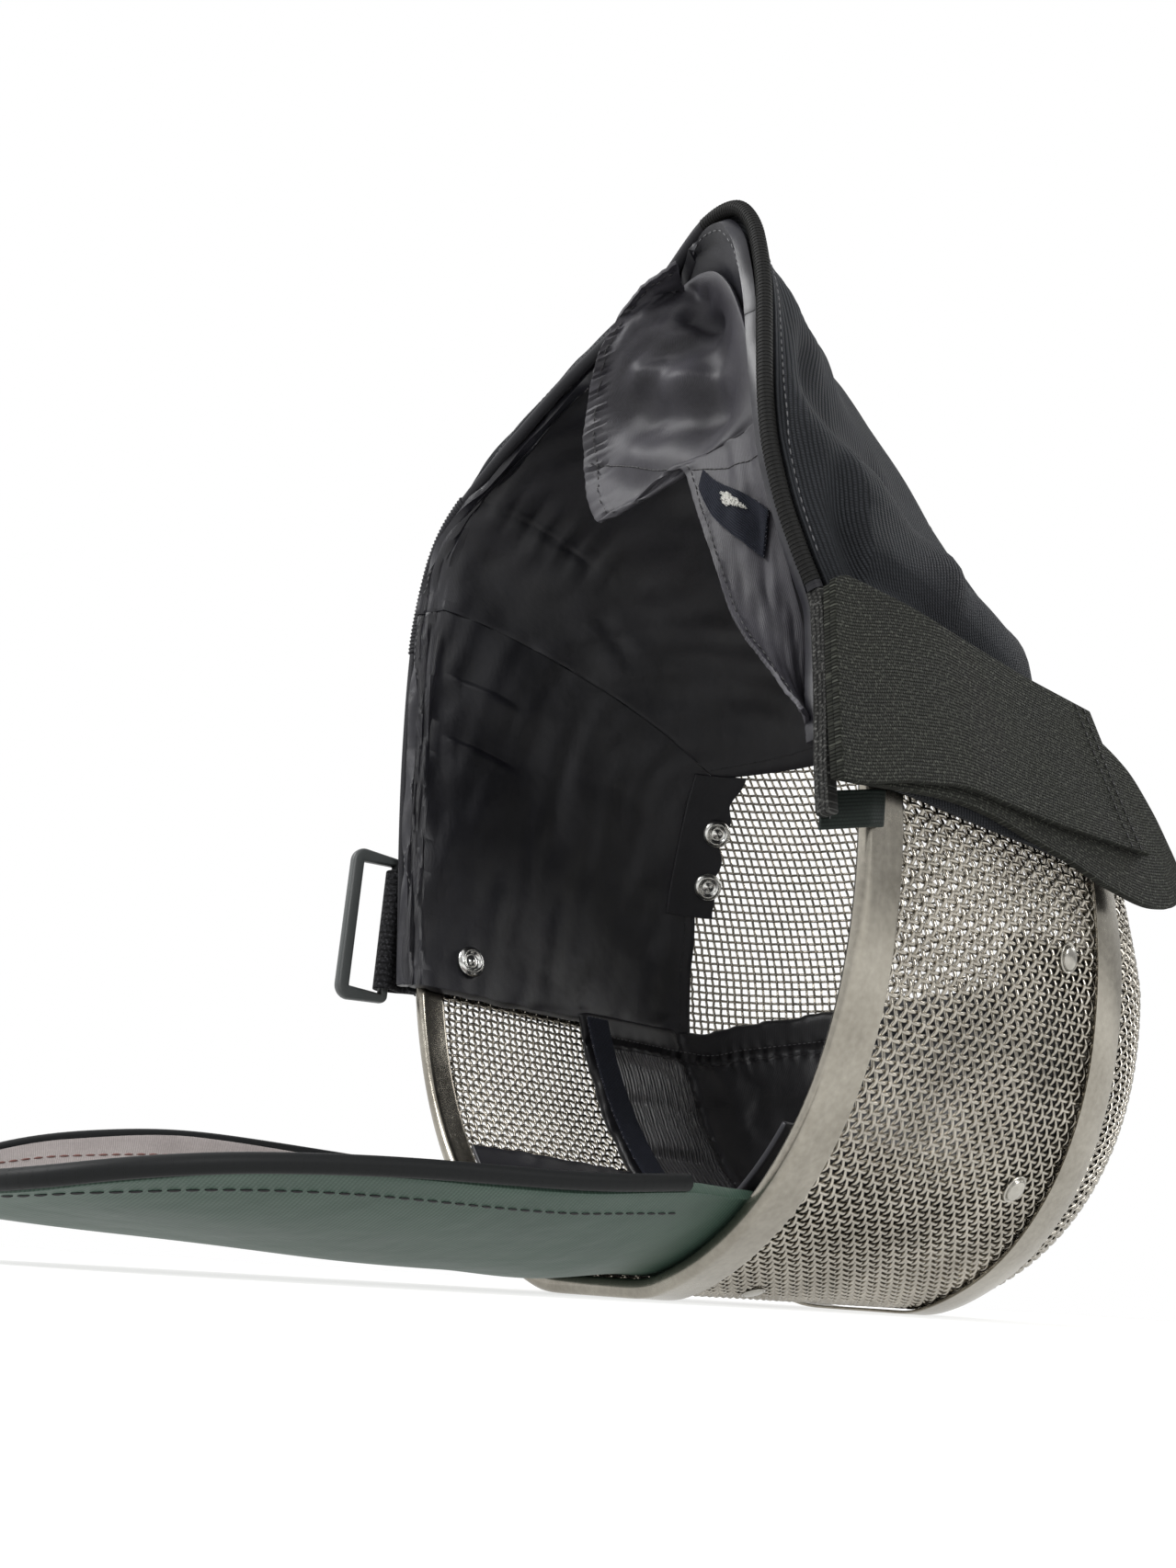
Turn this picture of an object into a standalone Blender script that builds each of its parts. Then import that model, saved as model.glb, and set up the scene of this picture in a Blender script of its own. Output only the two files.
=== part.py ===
"""A fencing mask standing on its chin, built from separate pieces.

Frame: metres, +X the wearer's right, +Y the wearer's front, +Z up. The mask stands on its
bands at z = 0, and the origin is the middle of the rim band's flat under the chin. The sizes
below are in millimetres, with depths counted from the rear edge of the chin's wires.
The wire shell is one smooth surface: level slices with straight sides and an elliptical
front, from which every band, lining and cover stands off by a named distance.
"""

import math

import bmesh
import bpy
import numpy as np
from mathutils import Matrix, Vector

MM = 0.001
GAP = 0.3  # what neighbouring pieces keep between them
TURN_STEP = 7.5  # every piece has its columns at these turns, so that their facets agree

# The wire shell
HALF_WIDTH = 101.0  # at the cheeks
CHEEK_HEIGHT = 150.0
JAW_POWER = 2.65  # roundness of the jaw below the cheeks
CROWN_HEIGHT = 290.0
CROWN_POWER = 7.0  # squareness of the shoulders above the cheeks
NOSE_HEIGHT = 105.0
NOSE_REACH = 172.0
CROWN_REAR = -20.0
BROW_POWER = 0.6
CHIN_EASE = 1.2  # how far below and above that height the flat runs out
SEAM_REACH = 108.6  # how far forward the seam lies under the chin
SEAM_LEAN = 0.152  # how far it leans back for each millimetre of height
SEAM_TURN = 150.0  # height where it starts to sweep back to the rim
SEAM_END = 204.0  # height where it meets the rim
RIM_LEAN = 0.036
RIM_BOW = 0.0001
WIRE_HALF = 1.0  # half the thickness of the woven wire

# Steel bands
BAND_SHEET = 0.8
BAND_GAP = 0.5
BAND_MIDDLE = WIRE_HALF + BAND_GAP + BAND_SHEET / 2
BAND_OUT = BAND_MIDDLE + BAND_SHEET / 2
CHIN_FLAT = BAND_OUT  # height of the wires under the chin, which is flat for standing on the bands
RIM_OUTSIDE = 11.0
RIM_INSIDE = 8.0
SEAM_BAND = 12.0
REST_DEPTH = 5.5  # depth of the origin, on the rim band's flat

# Cloth
CLOTH_GAP = 0.8  # what cloth keeps from the bands, whose facets differ from its own
COVER_SHEET = 1.6
COVER_MIDDLE = BAND_OUT + CLOTH_GAP + COVER_SHEET / 2
COVER_OUT = COVER_MIDDLE + COVER_SHEET / 2
COVER_RIGHT = 113.0  # height of its lower edge on each side
COVER_LEFT = 92.0
LINING_SHEET = 3.6
LINING_MIDDLE = BAND_OUT + CLOTH_GAP + 0.4 + LINING_SHEET / 2
LINING_IN = LINING_MIDDLE + LINING_SHEET / 2
LINING_LIP = 4.0  # how far inside the hood's free edge it ends
LINING_RIGHT = 119.0
LINING_LEFT = 91.0
PIPING_RADIUS = 2.0
HOOD_GAP = 1.4  # what the hood keeps from the piping on its edge
HOOD_ROWS = [-1.0, -0.5, -0.001]
HOOD_START = 1.7  # how far behind the rim it starts
FLAP_GAP = 2.6  # from the face of the lining to the middle of the flap's sewn edge
STRAP_SHEET = 1.8
PAD_SHEET = 7.0
PAD_GAP = 0.8  # what the chin pad keeps from the seam band
BIB_SHEET = 3.0
TRIM_SHEET = 1.5

# Shoulder of the shell: how far back of the seam its straight sides end, by height
SHOULDER_HEIGHT = (0, 90, 120, 150, 184, 204, 230, 260, 290)
SHOULDER_BACK = (0, 0, 12, 45, 98, 140, 175, 200, 215)

# Free edge of the hood. Columns: turn in degrees from the chin by the right ear, x, y, z
HOOD_EDGE = (
    (68, 101.5, -21.0, 96),
    (76, 101.5, -21.5, 112),
    (85, 101.8, -21.5, 134),
    (93, 101.5, -21.5, 153),
    (100, 100.0, -27.0, 169),
    (106, 99.0, -32.0, 183),
    (112, 98.8, -36.0, 199),
    (121, 99.5, -38.0, 219),
    (132, 99.5, -38.0, 241),
    (143, 97.0, -38.0, 264),
    (152, 90.0, -38.5, 279),
    (160, 76.0, -37.5, 284),
    (168, 46.0, -33.0, 286),
    (180, 4.0, -28.0, 287),
    (190, -30.0, -26.0, 283),
    (201, -60.0, -24.0, 276.5),
    (209, -76.0, -23.5, 270.5),
    (216, -90.0, -22.0, 261),
    (226, -98.5, -19.5, 247),
    (238, -102.0, -18.5, 223),
    (254, -103.0, -16.5, 184),
    (270, -103.0, -15.0, 146),
    (282, -102.5, -14.0, 116),
    (292, -101.5, -12.0, 92),
)

# Front edge of the cover. Columns: turn in degrees, y
COVER_FRONT = (
    (68, 78), (82, 80), (95, 76), (108, 62), (120, 42), (135, 26), (155, 18),
    (180, 15), (205, 18), (225, 26), (240, 42), (252, 62), (265, 76), (278, 80), (292, 78),
)

# Inner hem of the flap that hangs at the right of the hood. Columns: turn, x, y, z
FLAP_HEM = (
    (88, 88, -26.5, 140),
    (97, 80, -28.0, 160),
    (106, 72, -29.0, 180),
    (115, 62, -30.0, 203),
    (118, 57, -30.5, 213),
    (121, 27, -30.5, 211),
    (127, 18, -30.5, 222),
    (138, 19, -31.0, 243),
    (150, 26, -32.0, 261),
    (157, 40, -32.5, 263),
    (162, 53, -33.0, 264),
)

# Bib, which lies behind the chin. Columns: y, half width, height of the middle, of the right
# wing and of the left wing
BIB_ROWS = (
    (15, 57, 4.6, 26.0, 29.0),
    (-20, 57, 4.6, 24.0, 29.0),
    (-50, 58, 5.4, 21.5, 30.0),
    (-90, 58, 6.8, 20.5, 31.0),
    (-125, 56, 8.0, 18.5, 27.0),
    (-148, 48, 9.4, 15.5, 20.0),
    (-160, 36, 10.6, 13.0, 15.0),
    (-166, 20, 11.4, 12.2, 13.0),
)
BIB_CURVE = 2.4
BIB_TURN = 31.0  # how far round the chin it is sewn, to each side
BIB_GAP = 0.9  # what it keeps from the rim band
BIB_LEAVES = -3.0  # depth where it leaves the rim, and the way it takes to its own form
BIB_SETTLES = 22.0
BIB_FREE = -12.0  # depth where its rows begin to widen
BIB_SEWN_SHARE = 0.25

# Strap folded forward on the right. Columns: y, lower edge, upper edge
STRAP_OUTER = ((-21, 107, 160), (0, 113, 160), (25, 117.5, 158.5), (51, 117.5, 157), (100, 119, 155))
STRAP_INNER = (
    (-21, 108, 159), (25, 114, 156.5), (60, 110, 154), (80, 106, 150.5), (95, 104.5, 144.5),
    (106, 106, 134), (112, 109, 125), (116, 114, 118),
)
STRAP_END_TOP = 77.0
STRAP_END_SLANT = 0.58

# Buckle on the left
BUCKLE_AXIS_X = -110.6
BUCKLE_AXIS_Y = -11.0
BUCKLE_LOW = 87.0
BUCKLE_HIGH = 141.0
BUCKLE_DEPTH = 16.0  # from its bar to the middle of its outer side
BUCKLE_BAR = 1.6  # half the thickness of the frame
BUCKLE_SIDE = 2.4
SLEEVE_SHEET = 1.2
SLEEVE_RADIUS = 3.0
SLEEVE_FRONT = 16.0

# Rivets on the right, which the left repeats. Columns: y, height, head's radius, head's rise
RIVETS = ((77.0, 89.0, 3.4, 1.3), (84.0, 33.0, 3.4, 1.3), (31.0, 2.1, 3.0, 0.5))

# Ring snaps
SNAP_RADIUS = 5.5
SNAP_RISE = 1.8


def between(rows, column, at, key=0):
    """Smooth value of a table's column where its key column is at."""
    xs = [row[key] for row in rows]
    ys = [row[column] for row in rows]
    if xs[0] > xs[-1]:
        xs, ys = xs[::-1], ys[::-1]
    at = min(max(at, xs[0]), xs[-1])
    i = min(max(int(np.searchsorted(xs, at)) - 1, 0), len(xs) - 2)
    slopes = [(ys[k + 1] - ys[k]) / (xs[k + 1] - xs[k]) for k in range(len(xs) - 1)]

    def knot_slope(k):
        if k == 0 or k == len(xs) - 1:
            return slopes[min(k, len(slopes) - 1)]
        return 0.0 if slopes[k - 1] * slopes[k] <= 0 else 2 / (1 / slopes[k - 1] + 1 / slopes[k])

    span = xs[i + 1] - xs[i]
    t = (at - xs[i]) / span
    return (
        ys[i] * (1 + 2 * t) * (1 - t) ** 2
        + ys[i + 1] * t * t * (3 - 2 * t)
        + span * t * (1 - t) * (knot_slope(i) * (1 - t) - knot_slope(i + 1) * t)
    )


def half_width(z):
    """Half the width of the shell's straight sides at a height."""
    if z < CHEEK_HEIGHT:
        share = 1 - max(1 - z / CHEEK_HEIGHT, 0) ** JAW_POWER
    else:
        share = 1 - min((z - CHEEK_HEIGHT) / (CROWN_HEIGHT - CHEEK_HEIGHT), 1) ** CROWN_POWER
    return HALF_WIDTH * math.sqrt(max(share, 0))


def rim_y(z):
    """Where the rear edge of the wires lies at a height."""
    return -RIM_LEAN * z - RIM_BOW * z * z


def straight_seam(z):
    """Where the straight sides would end if the seam kept its lean."""
    return SEAM_REACH - SEAM_LEAN * z


def seam_y(z):
    """The seam between side and front mesh, which sweeps back to the rim above the cheeks."""
    t = min(max((z - SEAM_TURN) / (SEAM_END - SEAM_TURN), 0), 1)
    blend = t * t * (3 - 2 * t)
    return straight_seam(z) * (1 - blend) + rim_y(z) * blend


def side_end(z):
    """Where the elliptical front of a level slice begins."""
    return straight_seam(z) - np.interp(z, SHOULDER_HEIGHT, SHOULDER_BACK)


def front_y(z):
    """How far forward the middle of a level slice reaches."""
    if z < NOSE_HEIGHT:
        bulge = math.sqrt(max(1 - (1 - z / NOSE_HEIGHT) ** 2, 0))
        return straight_seam(z) + (NOSE_REACH - straight_seam(NOSE_HEIGHT)) * bulge
    rise = min((z - NOSE_HEIGHT) / (CROWN_HEIGHT - NOSE_HEIGHT), 1)
    return CROWN_REAR + (NOSE_REACH - CROWN_REAR) * (1 - rise * rise) ** BROW_POWER


def wall_x(y, z):
    """Half the width of the shell at a depth and a height."""
    start = side_end(z)
    reach = front_y(z) - start
    if reach <= 0:
        return 0.0
    forward = max(y - start, 0) / reach
    return half_width(z) * math.sqrt(max(1 - forward * forward, 0))


def top_z(y):
    """Height of the crown at a depth."""
    share = max((y - CROWN_REAR) / (NOSE_REACH - CROWN_REAR), 0) ** (1 / BROW_POWER)
    return NOSE_HEIGHT + (CROWN_HEIGHT - NOSE_HEIGHT) * math.sqrt(max(1 - share, 0))


def bottom_z(y):
    """Height of the chin's middle at a depth, found by halving."""
    if y <= SEAM_REACH:
        return 0.0
    low, high = 0.0, NOSE_HEIGHT
    for _ in range(30):
        middle = (low + high) / 2
        if front_y(middle) < y:
            low = middle
        else:
            high = middle
    return low


def flattened(z):
    """Height of the wires once the chin is flat, eased so that no crease shows."""
    start = CHIN_FLAT - CHIN_EASE
    if z >= CHIN_FLAT + CHIN_EASE:
        return z
    return CHIN_FLAT + max(z - start, 0) ** 2 / (4 * CHIN_EASE)


def shell(y, turn):
    """Point of the wires at a depth. Turn is 0 at the chin, 90 by the right ear, 180 on top."""
    low, high = bottom_z(y), top_z(y)
    z = low + (high - low) * (1 - math.cos(math.radians(turn))) / 2
    x = math.copysign(wall_x(y, z), math.sin(math.radians(turn)))
    return Vector((x, y, flattened(z)))


def dome(ring, turn):
    """Point of the front mesh. Ring is 0 at the nose and 90 on its edge, which is the seam."""
    edge_y = edge_depth(seam_y, turn)
    low, high = bottom_z(edge_y), top_z(edge_y)
    edge_z = low + (high - low) * (1 - math.cos(math.radians(turn))) / 2
    edge_x = math.copysign(wall_x(edge_y, edge_z), math.sin(math.radians(turn)))
    t = math.sin(math.radians(ring))
    x, z = t * edge_x, NOSE_HEIGHT + t * (edge_z - NOSE_HEIGHT)
    start = side_end(z)
    across = min(abs(x) / max(half_width(z), 1e-6), 1)
    y = start + (front_y(z) - start) * math.sqrt(max(1 - across * across, 0))
    return Vector((x, max(y, edge_y) if ring > 80 else y, flattened(z)))


def level_arc(z, share):
    """Point at a height, from the left rim (-1) round the front (0) to the right rim (1)."""
    start, width = straight_seam(z), half_width(z)
    side = math.copysign(1, share)
    along = abs(share)
    if along > 0.6:
        return Vector((side * width, start - (along - 0.6) / 0.4 * (start - rim_y(z)), z))
    angle = along / 0.6 * math.pi / 2
    return Vector((side * width * math.sin(angle), start + (front_y(z) - start) * math.cos(angle), z))


def edge_depth(line, turn):
    """Depth at which a line given by height crosses a turn of the shell."""
    y = 0.0
    for _ in range(25):
        low, high = bottom_z(y), top_z(y)
        y += (line(low + (high - low) * (1 - math.cos(math.radians(turn))) / 2) - y) * 0.8
    return y


def seam_at(turn, across):
    """Depth of a line beside the seam, at a distance square to it."""
    before, after = (shell(edge_depth(seam_y, t), t) for t in (turn - 0.5, turn + 0.5))
    lean = (after - before).normalized().y
    return edge_depth(seam_y, turn) + across / math.sqrt(max(1 - lean * lean, 0.1))


def outward(surface, u, v, du, dv):
    """Unit normal of a surface function, away from the head."""
    along = surface(u + du, v) - surface(u - du, v)
    around = surface(u, v + dv) - surface(u, v - dv)
    return along.cross(around).normalized()


def lifted(y, turn, offset):
    """Point that stands off the wires by an offset, which is negative inside."""
    return shell(y, turn) + outward(shell, y, turn, 0.4, 0.4) * offset


def rim_frame(turn):
    """Point of the rim with the directions into the mesh and outwards."""
    y = edge_depth(rim_y, turn)
    point = shell(y + 0.5, turn)
    inward = (shell(y + 1.5, turn) - point).normalized()
    return y, point - inward * 0.5, inward, outward(shell, y + 1.0, turn, 0.4, 0.4)


def finish(name, bm, material, thickness=None, smooth=35):
    """Makes an object of a mesh and gives a sheet its thickness."""
    mesh = bpy.data.meshes.new(name)
    bmesh.ops.recalc_face_normals(bm, faces=bm.faces)
    bm.to_mesh(mesh)
    bm.free()
    mesh.transform(Matrix.Scale(MM, 4))
    obj = bpy.data.objects.new(name, mesh)
    mesh.materials.append(material)
    PARTS.objects.link(obj)
    if thickness:
        wall = obj.modifiers.new("Wall", "SOLIDIFY")
        wall.thickness = thickness * MM
        wall.offset = 0
        wall.use_even_offset = True
    mesh.shade_smooth()
    mesh.set_sharp_from_angle(angle=math.radians(smooth))
    return obj


def sheet(name, point, columns, rows, thickness, material, closed=False):
    """A sheet with a wall, from a function of two values and the values of its columns and rows."""
    bm = bmesh.new()
    bmesh.ops.create_grid(bm, x_segments=len(columns) - 1, y_segments=len(rows) - 1, size=1)
    for vertex in bm.verts:
        column = round((vertex.co.x + 1) / 2 * (len(columns) - 1))
        row = round((vertex.co.y + 1) / 2 * (len(rows) - 1))
        vertex.co = point(columns[column], rows[row])
    if closed:
        bmesh.ops.remove_doubles(bm, verts=bm.verts, dist=0.02)
    return finish(name, bm, material, thickness)


def shares(count, first=0.0, last=1.0):
    """Evenly spaced values."""
    return [mix(first, last, i / count) for i in range(count + 1)]


def turns(first, last):
    """Turns between two limits, at the common step."""
    start, end = math.floor(first / TURN_STEP) + 1, math.ceil(last / TURN_STEP)
    return [first] + [i * TURN_STEP for i in range(start, end)] + [last]


def mix(a, b, share):
    """Value or point between two others."""
    return a + (b - a) * share


def turn_at(height, y=0.0):
    """Turn of the right side at which the shell has a height."""
    return math.degrees(math.acos(1 - 2 * (height - bottom_z(y)) / (top_z(y) - bottom_z(y))))


def close_turns(first, last):
    """Turns that also divide the step in which the seam runs into the rim, on both sides."""
    found = turns(first, last)
    extra = [side * (105 + part) % 360 for side in (-1, 1) for part in (2.5, 5)]
    return sorted(found + [turn - 360 if turn > last else turn for turn in extra])


def above(right, left, turn, y=0.0):
    """Turn kept above a height on the right and one on the left, where the shell is lower."""
    y = max(y, 0)
    low, high = turn_at(right, y), 360 - turn_at(left, y)
    first, last = turn_at(right), 360 - turn_at(left)
    return min(max(turn, low + 0.4 * (turn - first)), high - 0.4 * (last - turn))


def hood_edge(turn):
    """Point on the hood's free edge."""
    return Vector([between(HOOD_EDGE, column, turn) for column in (1, 2, 3)])


def hood(turn, share, offset_rim, offset_edge, stop):
    """Cloth from behind the rim band to the hood's free edge, which it leaves free by stop."""
    y, rim, inward, out = rim_frame(turn)
    base = rim - inward * HOOD_START + out * offset_rim
    edge = hood_edge(turn)
    along = (edge - base).normalized()
    around = (hood_edge(turn + 1) - hood_edge(turn - 1)).normalized()
    side = along.cross(around)
    slant = max(side.length, 0.5)
    if side.dot(out) < 0:
        side = -side
    end = edge - along * stop / slant + side.normalized() * offset_edge
    return mix(base, end, share)


def make_wires(steel):
    """The side mesh, which wraps under the chin, and the front mesh."""
    last = 15 * TURN_STEP

    def side_point(turn, share):
        rear = edge_depth(rim_y, turn) + 0.45
        return shell(mix(rear, max(seam_at(turn, -GAP), rear + 1), share), turn)

    columns = [turn for turn in close_turns(-180, 180) if abs(turn) <= last]
    sheet("side_mesh", side_point, columns, [0, 0.12, 0.35, 0.6, 0.8, 0.9, 1], 2 * WIRE_HALF, steel)

    def front_point(turn, ring):
        return shell(seam_at(turn, 0.45), turn) if ring == 90 else dome(ring, turn)

    rings = [0, 15, 30, 45, 57, 67, 75, 82, 87.3, 90]
    sheet("front_mesh", front_point, turns(0, 360), rings, 2 * WIRE_HALF, steel, closed=True)


def make_bands(steel):
    """The folded band round the rear rim and the two strips that clamp the seam."""
    profile = (
        (RIM_OUTSIDE, BAND_MIDDLE), (0.2, BAND_MIDDLE), (-0.75, 0.9),
        (-0.75, -0.9), (0.2, -BAND_MIDDLE), (RIM_INSIDE, -BAND_MIDDLE),
    )

    def rim_point(turn, place):
        along, offset = place
        y, rim, inward, out = rim_frame(turn)
        if along > 0.5:
            return lifted(y + along, turn, offset)
        return rim + inward * along + out * offset

    sheet("rim_band", rim_point, close_turns(0, 360), profile, BAND_SHEET, steel, closed=True)
    band_end = 14 * TURN_STEP
    for name, offset in (("seam_band", BAND_MIDDLE), ("seam_band_inner", -BAND_MIDDLE - 0.4)):

        def seam_point(turn, across, offset=offset):
            return lifted(seam_at(turn, across), turn, offset)

        across = shares(2, -SEAM_BAND / 2, SEAM_BAND / 2)
        sheet(name, seam_point, turns(-band_end, band_end), across, BAND_SHEET, steel)


def make_rivets(steel):
    """Low domed heads on the side mesh, beside the seam band."""
    for side, sign in (("right", 1), ("left", -1)):
        for number, (y, height, radius, rise) in enumerate(RIVETS, 1):
            turn = sign * (turn_at(height, y) if height > CHIN_FLAT else 14)
            seat = lifted(y, turn, WIRE_HALF + GAP)
            out = outward(shell, y, turn, 0.4, 0.4)
            bm = bmesh.new()
            bmesh.ops.create_uvsphere(bm, u_segments=12, v_segments=6, radius=radius)
            bmesh.ops.bisect_plane(
                bm, geom=bm.verts[:] + bm.edges[:] + bm.faces[:], dist=1e-4,
                plane_co=(0, 0, 0), plane_no=(0, 0, -1), clear_outer=True,
            )
            bmesh.ops.holes_fill(bm, edges=[e for e in bm.edges if e.is_boundary])
            bmesh.ops.scale(bm, vec=(1, 0.8, rise / radius), verts=bm.verts)
            turned = out.to_track_quat("Z", "Y").to_matrix().to_4x4()
            bmesh.ops.transform(bm, matrix=Matrix.Translation(seat) @ turned, verts=bm.verts)
            finish(f"rivet_{side}_{number}", bm, steel)


def draped(right, left, offset, lip, stop, front):
    """Point function of cloth that runs from a front edge over the rim to the hood's free edge."""

    def point(turn, share):
        if share < 0:
            return hood(turn, -share, offset, lip, stop)
        rear = edge_depth(rim_y, turn) + 2.0
        y = mix(rear, front(turn), share)
        return lifted(y, above(right, left, turn, y), offset)

    return point


def make_cover(cloth, satin):
    """The outer cover over the crown, which runs on behind the rim as a hood."""
    first, last = turn_at(COVER_RIGHT), 360 - turn_at(COVER_LEFT)
    point = draped(
        COVER_RIGHT, COVER_LEFT, COVER_MIDDLE, 1.2, PIPING_RADIUS + HOOD_GAP,
        lambda turn: between(COVER_FRONT, 1, turn),
    )
    sheet("crown_cover", point, turns(first, last), HOOD_ROWS + shares(5), COVER_SHEET, cloth)

    curve = bpy.data.curves.new("cover_piping", "CURVE")
    curve.dimensions = "3D"
    curve.bevel_depth = PIPING_RADIUS * MM
    curve.bevel_resolution = 1
    curve.use_fill_caps = True
    spline = curve.splines.new("POLY")
    places = turns(13 * TURN_STEP, last)
    spline.points.add(len(places) - 1)
    for knot, turn in zip(spline.points, places):
        knot.co = (*(hood_edge(turn) * MM), 1)
    curve.materials.append(satin)
    PARTS.objects.link(bpy.data.objects.new("cover_piping", curve))

    def tape_point(turn, across):
        return hood_edge(turn) + Vector((across, 0, 0))

    sheet("edge_tape", tape_point, turns(68.5, 95.5), shares(2, 2.6, -2.6), 3.6, cloth)


def make_linings(satin):
    """Padded linings inside the left wall, the crown and the right wall."""
    first, last = turn_at(LINING_RIGHT), 360 - turn_at(LINING_LEFT)
    split_right, split_left = 17.5 * TURN_STEP, 31 * TURN_STEP
    split = 0.4  # half the turn that two linings leave free between them

    def side_front(turn):
        return 115 - 16 * math.exp(-(((abs(turn - 180) - 60) / 14) ** 2))

    def crown_front(turn):
        return 137 - 7 * (abs(turn - 180) / 30) ** 2.86

    for name, start, end, front in (
        ("right_lining", first, split_right - split, side_front),
        ("crown_lining", split_right + split, split_left - split, crown_front),
        ("left_lining", split_left + split, last, side_front),
    ):
        stop = PIPING_RADIUS + HOOD_GAP + 1
        point = draped(LINING_RIGHT, LINING_LEFT, -LINING_MIDDLE, -LINING_LIP, stop, front)
        sheet(name, point, turns(start, end), HOOD_ROWS + shares(6), LINING_SHEET, satin)


def make_flap(satin, loop_tape):
    """The satin flap at the right of the hood, with its strip and a patch of loop tape."""

    first, last = FLAP_HEM[0][0], FLAP_HEM[-1][0]

    def flap_point(turn, share):
        held = hood(turn, 0.72, -LINING_MIDDLE, -LINING_LIP, PIPING_RADIUS + HOOD_GAP + 1)
        held += (Vector((0, held.y, 150)) - held).normalized() * (LINING_SHEET / 2 + FLAP_GAP)
        hem = Vector([between(FLAP_HEM, column, turn) for column in (1, 2, 3)])
        sag = 2.5 * math.sin(math.pi * share) * (1 if turn > 119 else 0.4)
        return mix(held, hem, share) + Vector((0, sag, 0))

    columns = sorted(turns(first, last) + [109, 115, 118, 121, 124])
    sheet("back_flap", flap_point, columns, shares(4), 1.0, satin)

    def patch_point(turn, share):
        return flap_point(turn, share) + Vector((0, -1.5, 0))

    sheet("loop_patch", patch_point, shares(4, 106, 117), shares(3, 0.12, 0.72), 0.8, loop_tape)


def make_chin(satin, loop_tape):
    """The chin pad in the front of the jaw, its hook strip, and the trim on the chin's floor."""
    offset = BAND_OUT + PAD_GAP + PAD_SHEET / 2
    end = 0.74

    def pad_point(share, rise, inset=offset):
        top = 109 - 62 * share * share if abs(share) < 0.45 else 87.0
        height = mix(16.0, top, rise)
        out = outward(level_arc, height, share, 0.4, 0.004)
        return level_arc(height, share) - out * inset

    sheet("chin_pad", pad_point, shares(20, -end, end), shares(5), PAD_SHEET, satin)

    def strip_point(rise, share):
        return pad_point(share, rise, offset + PAD_SHEET / 2 + PAD_GAP + 0.6)

    sheet("hook_strip", strip_point, shares(8, 0.06, 0.94), shares(2, -end, -0.64), 1.2, loop_tape)

    def trim_point(turn, y):
        return lifted(y, turn, -(BAND_OUT + 2 * BIB_GAP + BIB_SHEET + TRIM_SHEET / 2))

    sheet("chin_trim", trim_point, turns(-41, 41), shares(3, 2.0, 66.0), TRIM_SHEET, satin)


def bib_point(u, v):
    """Point of the bib's middle surface, across and along. Inside the rim it follows the wires."""
    if v < BIB_SEWN_SHARE:
        y = mix(BIB_ROWS[0][0], BIB_FREE, v / BIB_SEWN_SHARE)
    else:
        y = mix(BIB_FREE, BIB_ROWS[-1][0], 1 - ((1 - v) / (1 - BIB_SEWN_SHARE)) ** 1.35)
    across = 2 * u - 1
    wing = between(BIB_ROWS, 3 if across > 0 else 4, y)
    middle = between(BIB_ROWS, 2, y)
    height = middle + (wing - middle) * abs(across) ** BIB_CURVE
    free = Vector((across * between(BIB_ROWS, 1, y), y, height))
    sewn = lifted(max(y, 1), across * BIB_TURN, -(BAND_OUT + BIB_GAP + BIB_SHEET / 2))
    sewn.y = y
    share = min(max((BIB_LEAVES - y) / BIB_SETTLES, 0), 1)
    return mix(sewn, free, share * share * (3 - 2 * share))


def make_bib(leather, edge_cloth):
    """The padded bib, sewn in the rim and laid back, with its bound edge."""
    sheet("bib", bib_point, shares(12), shares(12), BIB_SHEET, leather)
    radius = 2.4
    path = [(0.0, v) for v in np.linspace(0.27, 1, 13)]
    path += [(u, 1.0) for u in np.linspace(0.15, 0.85, 6)]
    path += [(1.0, v) for v in np.linspace(1, 0.27, 13)]
    curve = bpy.data.curves.new("bib_binding", "CURVE")
    curve.dimensions = "3D"
    curve.bevel_depth = radius * MM
    curve.bevel_resolution = 1
    curve.use_fill_caps = True
    spline = curve.splines.new("POLY")
    spline.points.add(len(path) - 1)
    edge = [bib_point(u, v) for u, v in path]
    for i, point in enumerate(spline.points):
        tangent = (edge[min(i + 1, len(edge) - 1)] - edge[max(i - 1, 0)]).normalized()
        u, v = path[i]
        inside = bib_point(mix(u, 0.5, 0.06), min(v, 0.97)) - edge[i]
        away = (inside.project(tangent) - inside).normalized()
        point.co = (*((edge[i] + away * (radius + GAP + 0.15)) * MM), 1)
    curve.materials.append(edge_cloth)
    PARTS.objects.link(bpy.data.objects.new("bib_binding", curve))


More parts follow.
